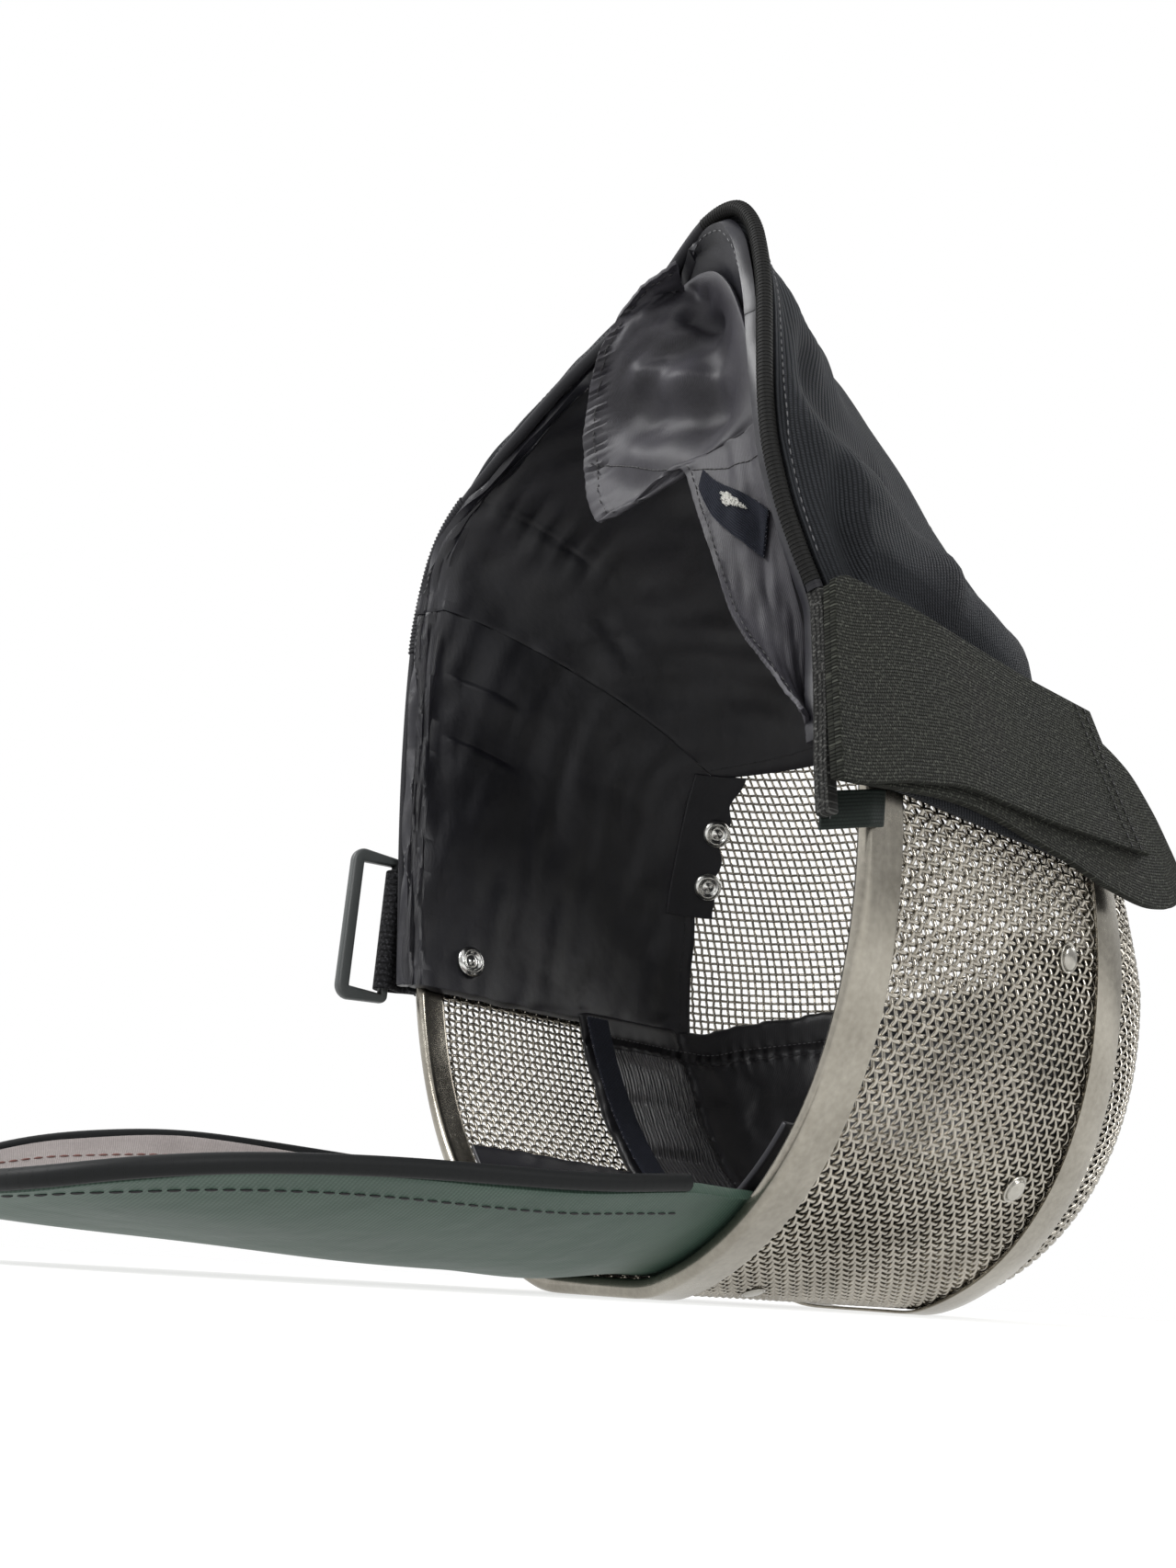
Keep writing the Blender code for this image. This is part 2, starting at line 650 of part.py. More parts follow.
def make_strap(elastic, leather):
    """The wide elastic strap folded forward on the right, in two layers, and its keeper."""
    inner = COVER_OUT + GAP + STRAP_SHEET / 2
    outer = inner + STRAP_SHEET + GAP
    hold = 46.0  # depth past which the stiff strap runs straight on

    def strap_x(y, z, offset):
        base = wall_x(min(max(y, 0), hold), 135) + offset
        return base + 0.04 * max(y - hold, 0) + 0.0006 * (z - 135) * (z - 150)

    def inner_point(u, v):
        y = mix(STRAP_INNER[0][0], STRAP_INNER[-1][0], 1 - (1 - u) ** 1.3)
        z = mix(between(STRAP_INNER, 1, y), between(STRAP_INNER, 2, y), v)
        return Vector((strap_x(y, z, inner + 0.4), y, z))

    def outer_point(u, v):
        height = mix(119, 155, v)
        end = STRAP_END_TOP + STRAP_END_SLANT * (155 - height)
        y = mix(STRAP_OUTER[0][0], end, u)
        z = mix(between(STRAP_OUTER, 1, y), between(STRAP_OUTER, 2, y), v)
        return Vector((strap_x(y, z, outer + 0.4), y, z))

    sheet("strap_lower", inner_point, shares(16), shares(4), STRAP_SHEET, elastic)
    sheet("strap_upper", outer_point, shares(12), shares(4), STRAP_SHEET, elastic)

    def keeper_point(y, z):
        return Vector((wall_x(0, z) + BAND_OUT + GAP + 0.9, y, z))

    sheet("keeper_tab", keeper_point, shares(3, -14, 6), shares(3, 98, 110), 1.2, leather)


def make_buckle(plastic, webbing):
    """The rectangular loop on the left, turning in its webbing sleeve."""
    hinge = bpy.data.objects.new("buckle_hinge", None)
    hinge.location = Vector((BUCKLE_AXIS_X, BUCKLE_AXIS_Y, (BUCKLE_LOW + BUCKLE_HIGH) / 2)) * MM
    PARTS.objects.link(hinge)
    outline = bpy.data.curves.new("buckle_outline", "CURVE")
    outline.dimensions = "2D"
    outline.fill_mode = "BOTH"
    outline.extrude = BUCKLE_BAR * MM
    half = (BUCKLE_HIGH - BUCKLE_LOW) / 2
    boxes = (
        (-BUCKLE_BAR, BUCKLE_DEPTH + BUCKLE_SIDE, half, 3.0),
        (BUCKLE_BAR, BUCKLE_DEPTH - BUCKLE_SIDE, half - 2 * BUCKLE_SIDE, 1.0),
    )
    for near, far, reach, radius in boxes:
        spline = outline.splines.new("POLY")
        corners = []
        for sx, sy, start in ((1, 1, 0), (-1, 1, 90), (-1, -1, 180), (1, -1, 270)):
            cx = (far - radius) if sx > 0 else (near + radius)
            cy = sy * (reach - radius)
            for step in range(4):
                angle = math.radians(start + 30 * step)
                corners.append((cx + radius * math.cos(angle), cy + radius * math.sin(angle)))
        spline.points.add(len(corners) - 1)
        for point, (px, py) in zip(spline.points, corners):
            point.co = (px * MM, py * MM, 0, 1)
        spline.use_cyclic_u = True
    flat = bpy.data.objects.new("buckle_flat", outline)
    PARTS.objects.link(flat)
    bpy.context.view_layer.update()
    shape = flat.evaluated_get(bpy.context.evaluated_depsgraph_get())
    mesh = bpy.data.meshes.new_from_object(shape)
    bpy.data.objects.remove(flat)
    bm = bmesh.new()
    bm.from_mesh(mesh)
    bmesh.ops.remove_doubles(bm, verts=bm.verts, dist=0.00001)
    bmesh.ops.recalc_face_normals(bm, faces=bm.faces)
    bm.to_mesh(mesh)
    bm.free()
    mesh.name = "buckle_frame"
    mesh.materials.clear()
    mesh.materials.append(plastic)
    frame = bpy.data.objects.new("buckle_frame", mesh)
    PARTS.objects.link(frame)
    frame.parent = hinge
    # The outline's x runs back from the bar and its y up: lay them on -Y and +Z
    frame.rotation_euler = Matrix(((0, 0, -1), (-1, 0, 0), (0, 1, 0))).to_euler()

    ends = 0.8  # what the sleeve leaves free at the loop's ends
    low, high = BUCKLE_LOW + 2 * BUCKLE_SIDE + ends, BUCKLE_HIGH - 2 * BUCKLE_SIDE - ends

    half_gap = (SLEEVE_SHEET + GAP) / 2
    arc_steps, arc_over = 8, 24.0

    def sleeve_point(k, z):
        if 0 <= k <= arc_steps:
            angle = math.radians(mix(-arc_over, 180 + arc_over, k / arc_steps))
            x = BUCKLE_AXIS_X + SLEEVE_RADIUS * math.cos(angle)
            return Vector((x, BUCKLE_AXIS_Y - SLEEVE_RADIUS * math.sin(angle), z))
        tail = -k if k < 0 else k - arc_steps
        seat = -(wall_x(0, z) + COVER_OUT + GAP + SLEEVE_SHEET / 2 + half_gap)
        x = mix(BUCKLE_AXIS_X, seat, ((tail - 1) / 2) ** 0.6)
        y = mix(BUCKLE_AXIS_Y + 2.2 * SLEEVE_RADIUS, SLEEVE_FRONT, (tail - 1) / 2)
        return Vector((x + (half_gap if k < 0 else -half_gap), y, z))

    columns = list(range(-3, arc_steps + 4))
    sheet("buckle_sleeve", sleeve_point, columns, shares(3, low, high), SLEEVE_SHEET, webbing)


def make_snaps(steel, satin):
    """Ring snaps inside, and the patch that two of them are set in."""
    patch_offset = -(LINING_IN + CLOTH_GAP + 0.5)

    def patch_point(share, z):
        recede = 0.09 * (z - 140)
        y = mix(104 - recede, 124 - 1.6 * recede, share)
        return lifted(y, 360 - turn_at(z, y), patch_offset)

    sheet("snap_patch", patch_point, shares(4), shares(5, 140, 190), 1.0, satin)
    seats = (
        ("snap_upper", 111.0, 171.0, patch_offset - 0.5 - CLOTH_GAP),
        ("snap_lower", 114.0, 151.0, patch_offset - 0.5 - CLOTH_GAP),
        ("snap_cheek", 12.0, 103.0, -LINING_IN - GAP),
    )
    profile = (
        (0.0, 1.0), (2.6, 0.8), (3.3, SNAP_RISE), (4.6, SNAP_RISE), (SNAP_RADIUS, 0.8),
        (SNAP_RADIUS, 0.0), (0.0, 0.0),
    )
    for name, y, height, offset in seats:
        turn = 360 - turn_at(height, y)
        seat = lifted(y, turn, offset)
        inwards = -outward(shell, y, turn, 0.4, 0.4)
        bm = bmesh.new()
        verts = [bm.verts.new((r, 0, h)) for r, h in profile]
        edges = [bm.edges.new(pair) for pair in zip(verts, verts[1:])]
        bmesh.ops.spin(
            bm, geom=verts + edges, cent=(0, 0, 0), axis=(0, 0, 1), angle=2 * math.pi, steps=12,
            use_merge=True,
        )
        bmesh.ops.remove_doubles(bm, verts=bm.verts, dist=0.001)
        turned = inwards.to_track_quat("Z", "Y").to_matrix().to_4x4()
        bmesh.ops.transform(bm, matrix=Matrix.Translation(seat) @ turned, verts=bm.verts)
        finish(name, bm, steel)


def surface(name, colour, roughness, metallic=0.0):
    """A plain material in the piece's own colour."""
    material = bpy.data.materials.new(name)
    material.use_nodes = True
    shader = material.node_tree.nodes["Principled BSDF"]
    shader.inputs["Base Color"].default_value = (*colour, 1)
    shader.inputs["Roughness"].default_value = roughness
    shader.inputs["Metallic"].default_value = metallic
    return material


def main():
    """Builds every piece in its place."""
    steel_wire = surface("steel_wire", (0.33, 0.31, 0.27), 0.35, 1.0)
    steel_band = surface("steel_band", (0.42, 0.40, 0.36), 0.32, 1.0)
    snap_metal = surface("snap_metal", (0.6, 0.6, 0.58), 0.25, 1.0)
    cover_cloth = surface("cover_cloth", (0.018, 0.019, 0.022), 0.8)
    satin = surface("satin", (0.02, 0.018, 0.022), 0.45)
    loop_tape = surface("loop_tape", (0.015, 0.016, 0.02), 0.95)
    elastic = surface("elastic", (0.04, 0.04, 0.032), 0.85)
    bib_skin = surface("bib_skin", (0.07, 0.1, 0.08), 0.5)
    plastic = surface("dark_plastic", (0.06, 0.065, 0.065), 0.4)
    make_wires(steel_wire)
    make_bands(steel_band)
    make_rivets(steel_band)
    make_cover(cover_cloth, satin)
    make_linings(satin)
    make_flap(satin, loop_tape)
    make_chin(satin, loop_tape)
    make_bib(bib_skin, satin)
    make_strap(elastic, bib_skin)
    make_buckle(plastic, elastic)
    make_snaps(snap_metal, satin)


for old in list(bpy.data.objects):
    bpy.data.objects.remove(old)
PARTS = bpy.data.collections.new("fencing_mask")
bpy.context.scene.collection.children.link(PARTS)
main()
origin = bpy.data.objects.new("mask_origin", None)
origin.location.y = -REST_DEPTH * MM
PARTS.objects.link(origin)
for piece in PARTS.objects:
    if piece.parent is None and piece is not origin:
        piece.parent = origin
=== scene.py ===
"""Looks of the fencing mask that stands on its chin with its open back to the camera.

Every size is in millimetres, with depths counted from the rear edge of the chin's wires, as in
the part's source. The meshes are made in the shared frame, in metres.
"""

import logging
import math
from collections.abc import Callable, Sequence
from dataclasses import dataclass
from enum import Enum

import bmesh
import bpy
import numpy as np
from mathutils import Matrix, Vector
from mathutils.kdtree import KDTree


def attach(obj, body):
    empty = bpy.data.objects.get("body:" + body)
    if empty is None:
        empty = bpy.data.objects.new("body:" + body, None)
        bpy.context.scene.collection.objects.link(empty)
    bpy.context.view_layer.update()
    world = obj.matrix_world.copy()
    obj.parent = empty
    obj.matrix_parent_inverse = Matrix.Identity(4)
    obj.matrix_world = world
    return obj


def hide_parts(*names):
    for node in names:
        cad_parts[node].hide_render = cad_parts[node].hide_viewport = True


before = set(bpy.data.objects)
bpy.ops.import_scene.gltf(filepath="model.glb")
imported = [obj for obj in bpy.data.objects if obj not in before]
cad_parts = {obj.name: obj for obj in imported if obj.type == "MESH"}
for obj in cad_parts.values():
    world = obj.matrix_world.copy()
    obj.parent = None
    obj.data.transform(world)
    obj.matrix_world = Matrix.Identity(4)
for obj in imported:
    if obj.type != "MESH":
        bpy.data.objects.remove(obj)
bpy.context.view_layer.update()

LOG = logging.getLogger("fencing_mask")
MM = 0.001
REST_DEPTH = 5.5
Array = np.ndarray
Surface = Callable[[Array, Array], Array]
Line = Callable[[Array], Array]
Colour = tuple[float, float, float]
Fold = tuple[tuple[float, float], tuple[float, float], float, float]
Mesh, Material, Piece = bpy.types.Mesh, bpy.types.Material, bpy.types.Object
Node, NodeTree, Socket = bpy.types.Node, bpy.types.NodeTree, bpy.types.NodeSocket
Inputs = bpy.types.NodeOutputs
MASK, BUCKLE = "mask", "buckle"
EDGE_ANGLE = 55
SWELL_FRAMES = 20
SWELL_PRESSURE = 4.0


# ---------------------------------------------------------------- numbers


def unit(vectors: Array) -> Array:
    """Vectors brought to length one."""
    return vectors / np.maximum(np.linalg.norm(vectors, axis=-1, keepdims=True), 1e-9)


def mix(a: Array | float, b: Array | float, share: Array | float) -> Array:
    """Value or point between two others."""
    share = np.asarray(share, float)
    if np.ndim(a) > share.ndim or np.ndim(b) > share.ndim:
        share = share[..., None]
    return a + (b - a) * share


def ease(t: Array | float) -> Array:
    """Smooth step from 0 to 1."""
    t = np.clip(t, 0, 1)
    return t * t * (3 - 2 * t)


def bell(distance: Array, width: float) -> Array:
    """Smooth bump of height one about a distance of zero."""
    return np.exp(-((distance / width) ** 2))


def ridge(u: Array, v: Array, start: tuple[float, float], end: tuple[float, float], width: float) -> Array:
    """Bump along a straight line in the plane of two values.

    Args:
        u: First value of each point.
        v: Second value of each point.
        start: Where the line begins.
        end: Where it ends.
        width: Distance in which the bump falls off.

    Returns:
        Heights from 0 to 1.
    """
    along = np.array(end, float) - start
    length = float(np.hypot(*along))
    share = np.clip(((u - start[0]) * along[0] + (v - start[1]) * along[1]) / length**2, 0, 1)
    far = np.hypot(u - start[0] - share * along[0], v - start[1] - share * along[1])
    return bell(far, width)


def ripple(
    u: Array, v: Array, seed: int, length: float, heading: float = 0.0, spread: float = 180.0
) -> Array:
    """Waves of cloth from a few crossing sines.

    Args:
        u: First coordinate in millimetres.
        v: Second coordinate in millimetres.
        seed: Fixes the waves.
        length: Usual distance from crest to crest.
        heading: Direction of the waves in degrees.
        spread: How far the directions may differ, in degrees.

    Returns:
        Heights of about -1 to 1.
    """
    rng = np.random.default_rng(seed)
    total = np.zeros(np.broadcast(u, v).shape)
    for _ in range(7):
        angle = math.radians(heading + spread * (rng.random() - 0.5))
        pace = 2 * math.pi / (length * (0.65 + 0.9 * rng.random()))
        total += np.sin(pace * (u * math.cos(angle) + v * math.sin(angle)) + rng.random() * 6.28)
    return total / 2.6


def normal_of(surface: Surface, u: Array, v: Array, du: float, dv: float) -> Array:
    """Unit normal of a surface function, by differences."""
    along = surface(u + du, v) - surface(u - du, v)
    around = surface(u, v + dv) - surface(u, v - dv)
    return unit(np.cross(along, around))


def raised(surface: Surface, height: Surface, du: float, dv: float) -> Surface:
    """Surface function that stands off another by a height along its normal."""

    def point(u: Array, v: Array) -> Array:
        """Point that stands off."""
        return surface(u, v) + normal_of(surface, u, v, du, dv) * height(u, v)[..., None]

    return point


class Smooth:
    """Smooth value of one column of a table by another column."""

    def __init__(self, rows: Sequence[Sequence[float]], column: int, key: int = 0) -> None:
        """Keeps the column's knots and slopes.

        Args:
            rows: The table.
            column: The column to be read.
            key: The column that it is read by.
        """
        knots = sorted((row[key], row[column]) for row in rows)
        self.xs = np.array([k[0] for k in knots], float)
        self.ys = np.array([k[1] for k in knots], float)
        rise = np.diff(self.ys) / np.diff(self.xs)
        before, after = rise[:-1], rise[1:]
        same = before * after > 0
        inner = np.where(same, 2 * before * after / np.where(same, before + after, 1), 0)
        self.slopes = np.concatenate([rise[:1], inner, rise[-1:]])

    def __call__(self, at: Array) -> Array:
        """Values at some keys."""
        at = np.clip(at, self.xs[0], self.xs[-1])
        i = np.clip(np.searchsorted(self.xs, at) - 1, 0, len(self.xs) - 2)
        span = self.xs[i + 1] - self.xs[i]
        t = (at - self.xs[i]) / span
        near, far = self.slopes[i], self.slopes[i + 1]
        return (
            self.ys[i] * (1 + 2 * t) * (1 - t) ** 2
            + self.ys[i + 1] * t * t * (3 - 2 * t)
            + span * t * (1 - t) * (near * (1 - t) - far * t)
        )


# ---------------------------------------------------------------- the wire shell


@dataclass(frozen=True)
class Shell:
    """The smooth form of the wires, from which everything else stands off."""

    width: float = 101.0
    cheek: float = 150.0
    jaw_power: float = 2.65
    crown: float = 290.0
    crown_power: float = 7.0
    nose: float = 105.0
    reach: float = 172.0
    crown_rear: float = -20.0
    brow_power: float = 0.6
    chin_flat: float = 2.3
    chin_ease: float = 1.2
    shoulder_height: tuple[float, ...] = (0, 90, 120, 150, 184, 204, 230, 260, 290)
    shoulder_back: tuple[float, ...] = (0, 0, 12, 45, 98, 140, 175, 200, 215)

    def half_width(self, z: Array) -> Array:
        """Half the width of the straight sides at a height."""
        below = 1 - np.clip(1 - z / self.cheek, 0, None) ** self.jaw_power
        above = 1 - np.clip((z - self.cheek) / (self.crown - self.cheek), 0, 1) ** self.crown_power
        return self.width * np.sqrt(np.clip(np.where(z < self.cheek, below, above), 0, None))

    def rim_y(self, z: Array) -> Array:
        """Depth of the wires' rear edge at a height."""
        return -0.036 * z - 0.0001 * z * z

    def straight_seam(self, z: Array) -> Array:
        """Depth of the seam if it kept its lean."""
        return 108.6 - 0.152 * z

    def seam_y(self, z: Array) -> Array:
        """Depth of the seam between side and front mesh."""
        share = ease((z - 150) / 54)
        return self.straight_seam(z) * (1 - share) + self.rim_y(z) * share

    def side_end(self, z: Array) -> Array:
        """Depth at which the elliptical front of a level slice begins."""
        return self.straight_seam(z) - np.interp(z, self.shoulder_height, self.shoulder_back)

    def front_y(self, z: Array) -> Array:
        """How far forward the middle of a level slice reaches."""
        bulge = np.sqrt(np.clip(1 - (1 - np.clip(z, 0, self.nose) / self.nose) ** 2, 0, None))
        low = self.straight_seam(z) + (self.reach - self.straight_seam(self.nose)) * bulge
        rise = np.clip((z - self.nose) / (self.crown - self.nose), 0, 1)
        high = self.crown_rear + (self.reach - self.crown_rear) * (1 - rise * rise) ** self.brow_power
        return np.where(z < self.nose, low, high)

    def wall_x(self, y: Array, z: Array) -> Array:
        """Half the width at a depth and a height."""
        start = self.side_end(z)
        reach = np.maximum(self.front_y(z) - start, 1e-6)
        forward = np.clip(y - start, 0, None) / reach
        return self.half_width(z) * np.sqrt(np.clip(1 - forward * forward, 0, None))

    def top_z(self, y: Array) -> Array:
        """Height of the crown at a depth."""
        share = np.clip((y - self.crown_rear) / (self.reach - self.crown_rear), 0, None)
        share = share ** (1 / self.brow_power)
        return self.nose + (self.crown - self.nose) * np.sqrt(np.clip(1 - share, 0, None))

    def bottom_z(self, y: Array) -> Array:
        """Height of the chin's middle at a depth."""
        heights = np.linspace(0, self.nose, 700)
        return np.where(y <= 108.6, 0.0, np.interp(y, self.front_y(heights), heights))

    def flattened(self, z: Array) -> Array:
        """Height of the wires once the chin is flat."""
        start = self.chin_flat - self.chin_ease
        eased = self.chin_flat + np.clip(z - start, 0, None) ** 2 / (4 * self.chin_ease)
        return np.where(z >= self.chin_flat + self.chin_ease, z, eased)

    def height(self, y: Array, turn: Array) -> Array:
        """Height of a turn at a depth, before the chin is flat."""
        low, high = self.bottom_z(y), self.top_z(y)
        return low + (high - low) * (1 - np.cos(np.radians(turn))) / 2

    def point(self, y: Array, turn: Array) -> Array:
        """Point of the wires. Turn is 0 at the chin, 90 by the right ear and 180 on top."""
        y, turn = np.broadcast_arrays(np.asarray(y, float), np.asarray(turn, float))
        z = self.height(y, turn)
        x = np.copysign(self.wall_x(y, z), np.sin(np.radians(turn)))
        return np.stack([x, y, self.flattened(z)], -1)

    def normal(self, y: Array, turn: Array) -> Array:
        """Unit normal away from the head."""
        return normal_of(self.point, y, turn, 0.4, 0.4)

    def lifted(self, y: Array, turn: Array, offset: Array | float) -> Array:
        """Point that stands off the wires by an offset, which is negative inside."""
        return self.point(y, turn) + self.normal(y, turn) * np.asarray(offset, float)[..., None]

    def edge_depth(self, line: Line, turn: Array) -> Array:
        """Depth at which a line given by height crosses a turn."""
        y = np.zeros(np.shape(turn))
        for _ in range(25):
            y = y + (line(self.height(y, turn)) - y) * 0.8
        return y

    def seam_at(self, turn: Array, across: Array | float) -> Array:
        """Depth of a line beside the seam, at a distance square to it."""
        turn = np.asarray(turn, float)
        before, after = (self.point(self.edge_depth(self.seam_y, t), t) for t in (turn - 0.5, turn + 0.5))
        lean = unit(after - before)[..., 1]
        return self.edge_depth(self.seam_y, turn) + across / np.sqrt(np.clip(1 - lean * lean, 0.1, None))

    def rim_frame(self, turn: Array) -> tuple[Array, Array, Array, Array]:
        """Depth and point of the rim with the directions into the mesh and outwards."""
        y = self.edge_depth(self.rim_y, turn)
        point = self.point(y + 0.5, turn)
        inward = unit(self.point(y + 1.5, turn) - point)
        return y, point - inward * 0.5, inward, self.normal(y + 1.0, turn)

    def turn_at(self, height: Array | float, y: Array | float = 0.0) -> Array:
        """Turn of the right side at which the shell has a height."""
        y = np.asarray(y, float)
        low, high = self.bottom_z(y), self.top_z(y)
        return np.degrees(np.arccos(np.clip(1 - 2 * (height - low) / (high - low), -1, 1)))


SHELL = Shell()


# ---------------------------------------------------------------- meshes


def to_frame(points: Array) -> Array:
    """Points of the table in the shared frame, in metres."""
    return (points - np.array([0, REST_DEPTH, 0])) * MM


class Net:
    """A net of points on a surface function, with a UV map measured in millimetres."""

    def __init__(self, surface: Surface, columns: Array, rows: Array, closed: bool = False) -> None:
        """Samples the surface.

        Args:
            surface: Point function of two values.
            columns: First values.
            rows: Second values.
            closed: Whether the last column is the first one.
        """
        u, v = np.meshgrid(np.asarray(columns, float), np.asarray(rows, float), indexing="ij")
        self.points = surface(u, v)
        self.closed = closed

    def mesh(self, name: str) -> Mesh:
        """Mesh of the net, in the shared frame."""
        p = self.points
        n, m = p.shape[:2]
        used = n - 1 if self.closed else n
        index = np.arange(n * m).reshape(n, m)
        if self.closed:
            index[-1] = index[0]
        corners = [index[:-1, :-1], index[1:, :-1], index[1:, 1:], index[:-1, 1:]]
        faces = np.stack(corners, -1).reshape(-1, 4)
        across = np.zeros((n, m))
        across[1:] = np.cumsum(np.linalg.norm(np.diff(p, axis=0), axis=-1), axis=0)
        along = np.zeros((n, m))
        along[:, 1:] = np.cumsum(np.linalg.norm(np.diff(p, axis=1), axis=-1), axis=1)
        uv = np.stack([across - across.mean(0), along], -1)
        maps = [uv[:-1, :-1], uv[1:, :-1], uv[1:, 1:], uv[:-1, 1:]]
        mesh = bpy.data.meshes.new(name)
        mesh.from_pydata(to_frame(p[:used]).reshape(-1, 3).tolist(), [], faces.tolist())
        layer = mesh.uv_layers.new(name="cloth")
        layer.data.foreach_set("uv", np.stack(maps, -2).reshape(-1).astype(np.float32))
        mesh.update()
        mesh.shade_smooth()
        return mesh


def place(name: str, mesh: Mesh, finish: "Finish", nodes: Sequence[str], slot: str, body: str = MASK) -> Piece:
    """Makes an object that rides on a body and stands for some nodes.

    Args:
        name: Name of the piece.
        mesh: Its mesh, in the shared frame.
        finish: Its finish.
        nodes: Nodes that it stands for.
        slot: The record's material slot; it is not used.
        body: The body that it moves with.

    Returns:
        The new object.
    """
    obj = bpy.data.objects.new(name, mesh)
    if not mesh.materials:
        mesh.materials.append(finish.material)
    bpy.context.scene.collection.objects.link(obj)
    if nodes:
        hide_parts(*nodes)
    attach(obj, body)
    LOG.info("%s: %d faces", name, len(mesh.polygons))
    return obj


def thicken(obj: Piece, thickness: float, round_off: float) -> Piece:
    """Gives a sheet its wall and rounds the wall's edges, in millimetres."""
    wall = obj.modifiers.new("Wall", "SOLIDIFY")
    wall.thickness = thickness * MM
    wall.offset = 0
    wall.use_even_offset = False
    edge = obj.modifiers.new("Edge", "BEVEL")
    edge.width = round_off * MM
    edge.segments = 2
    edge.limit_method = "ANGLE"
    edge.angle_limit = math.radians(EDGE_ANGLE)
    return obj


def revolve(profile: Sequence[tuple[float, float]], steps: int) -> tuple[Array, list[tuple[int, ...]]]:
    """Turns a profile of radius and height about Z.

    Args:
        profile: Radii and heights, from the axis on top to the axis below.
        steps: Number of columns.

    Returns:
        Points and faces of a closed solid.
    """
    ring = np.linspace(0, 2 * math.pi, steps, endpoint=False)
    inner = profile[1:-1]
    points = [(0.0, 0.0, profile[0][1])]
    points += [(r * math.cos(a), r * math.sin(a), h) for r, h in inner for a in ring]
    points.append((0.0, 0.0, profile[-1][1]))
    faces: list[tuple[int, ...]] = []
    for k in range(steps):
        after = (k + 1) % steps
        faces.append((0, 1 + k, 1 + after))
        for row in range(len(inner) - 1):
            a, b = 1 + row * steps, 1 + (row + 1) * steps
            faces.append((a + k, b + k, b + after, a + after))
        last = 1 + (len(inner) - 1) * steps
        faces.append((len(points) - 1, last + after, last + k))
    return np.array(points), faces


def panel(
    name: str, surface: Surface, columns: Array, rows: Array, finish: "Finish", node: str, slot: str,
    wall: float, round_off: float,
) -> Piece:
    """Makes a sheet on a surface function, with its wall.

    Args:
        name: Name of the piece.
        surface: Point function of two values.
        columns: First values.
        rows: Second values.
        finish: Its finish.
        node: Node that it stands for.
        slot: The record's material slot.
        wall: Its thickness.
        round_off: How far the wall's edges are rounded.

    Returns:
        The new object.
    """
    obj = place(name, Net(surface, columns, rows).mesh(name), finish, [node], slot)
    return thicken(obj, wall, round_off)


def coordinates(mesh: Mesh) -> Array:
    """Places of a mesh's vertices, in metres."""
    points = np.zeros(len(mesh.vertices) * 3, np.float32)
    mesh.vertices.foreach_get("co", points)
    return points.reshape(-1, 3).astype(float)


def applied(obj: Piece) -> Mesh:
    """Plain mesh of an object with its modifiers."""
    bpy.context.view_layer.update()
    graph = bpy.context.evaluated_depsgraph_get()
    return bpy.data.meshes.new_from_object(obj.evaluated_get(graph), depsgraph=graph)


def swell(sheet: Mesh, thickness: float, hold: Line, voxel: float, cap: float) -> Mesh:
    """Swells a padded sheet by cloth simulation under pressure.

    Args:
        sheet: The pad's middle surface.
        thickness: Its thickness before it swells.
        hold: How firmly the sewing holds each place, from 0 to 1.
        voxel: Edge of the even mesh that is simulated.
        cap: How far a point may move.

    Returns:
        The closed pad, once subdivided.
    """
    pad = bpy.data.objects.new("swelling", sheet)
    bpy.context.scene.collection.objects.link(pad)
    thicken(pad, thickness, 0.35 * thickness)
    even = pad.modifiers.new("Even", "REMESH")
    even.mode, even.voxel_size = "VOXEL", voxel * MM
    pad.data = applied(pad)
    pad.modifiers.clear()
    start = coordinates(pad.data)
    held = pad.vertex_groups.new(name="held")
    for number, weight in enumerate(hold(start)):
        held.add([number], float(weight), "REPLACE")
    cloth = pad.modifiers.new("Cloth", "CLOTH")
    cloth.settings.use_pressure = True
    cloth.settings.uniform_pressure_force = SWELL_PRESSURE
    cloth.settings.vertex_group_mass = "held"
    cloth.settings.effector_weights.gravity = 0.0
    cloth.point_cache.frame_start, cloth.point_cache.frame_end = 1, SWELL_FRAMES
    for number in range(1, SWELL_FRAMES + 1):
        bpy.context.scene.frame_set(number)
    move = coordinates(applied(pad)) - start
    bpy.context.scene.frame_set(1)
    pad.modifiers.clear()
    far = np.linalg.norm(move, axis=-1, keepdims=True)
    LOG.info("swelling: mean move %.2f mm, largest %.2f mm", far.mean() / MM, far.max() / MM)
    start = start + move * np.minimum(1.0, cap * MM / np.maximum(far, 1e-9))
    pad.data.vertices.foreach_set("co", start.reshape(-1).astype(np.float32))
    pad.data.update()
    finer = pad.modifiers.new("Finer", "SUBSURF")
    finer.levels = finer.render_levels = 1
    mesh = applied(pad)
    mesh.name = sheet.name
    bpy.data.objects.remove(pad)
    mesh.materials.clear()
    mesh.shade_smooth()
    return mesh


# ---------------------------------------------------------------- node trees


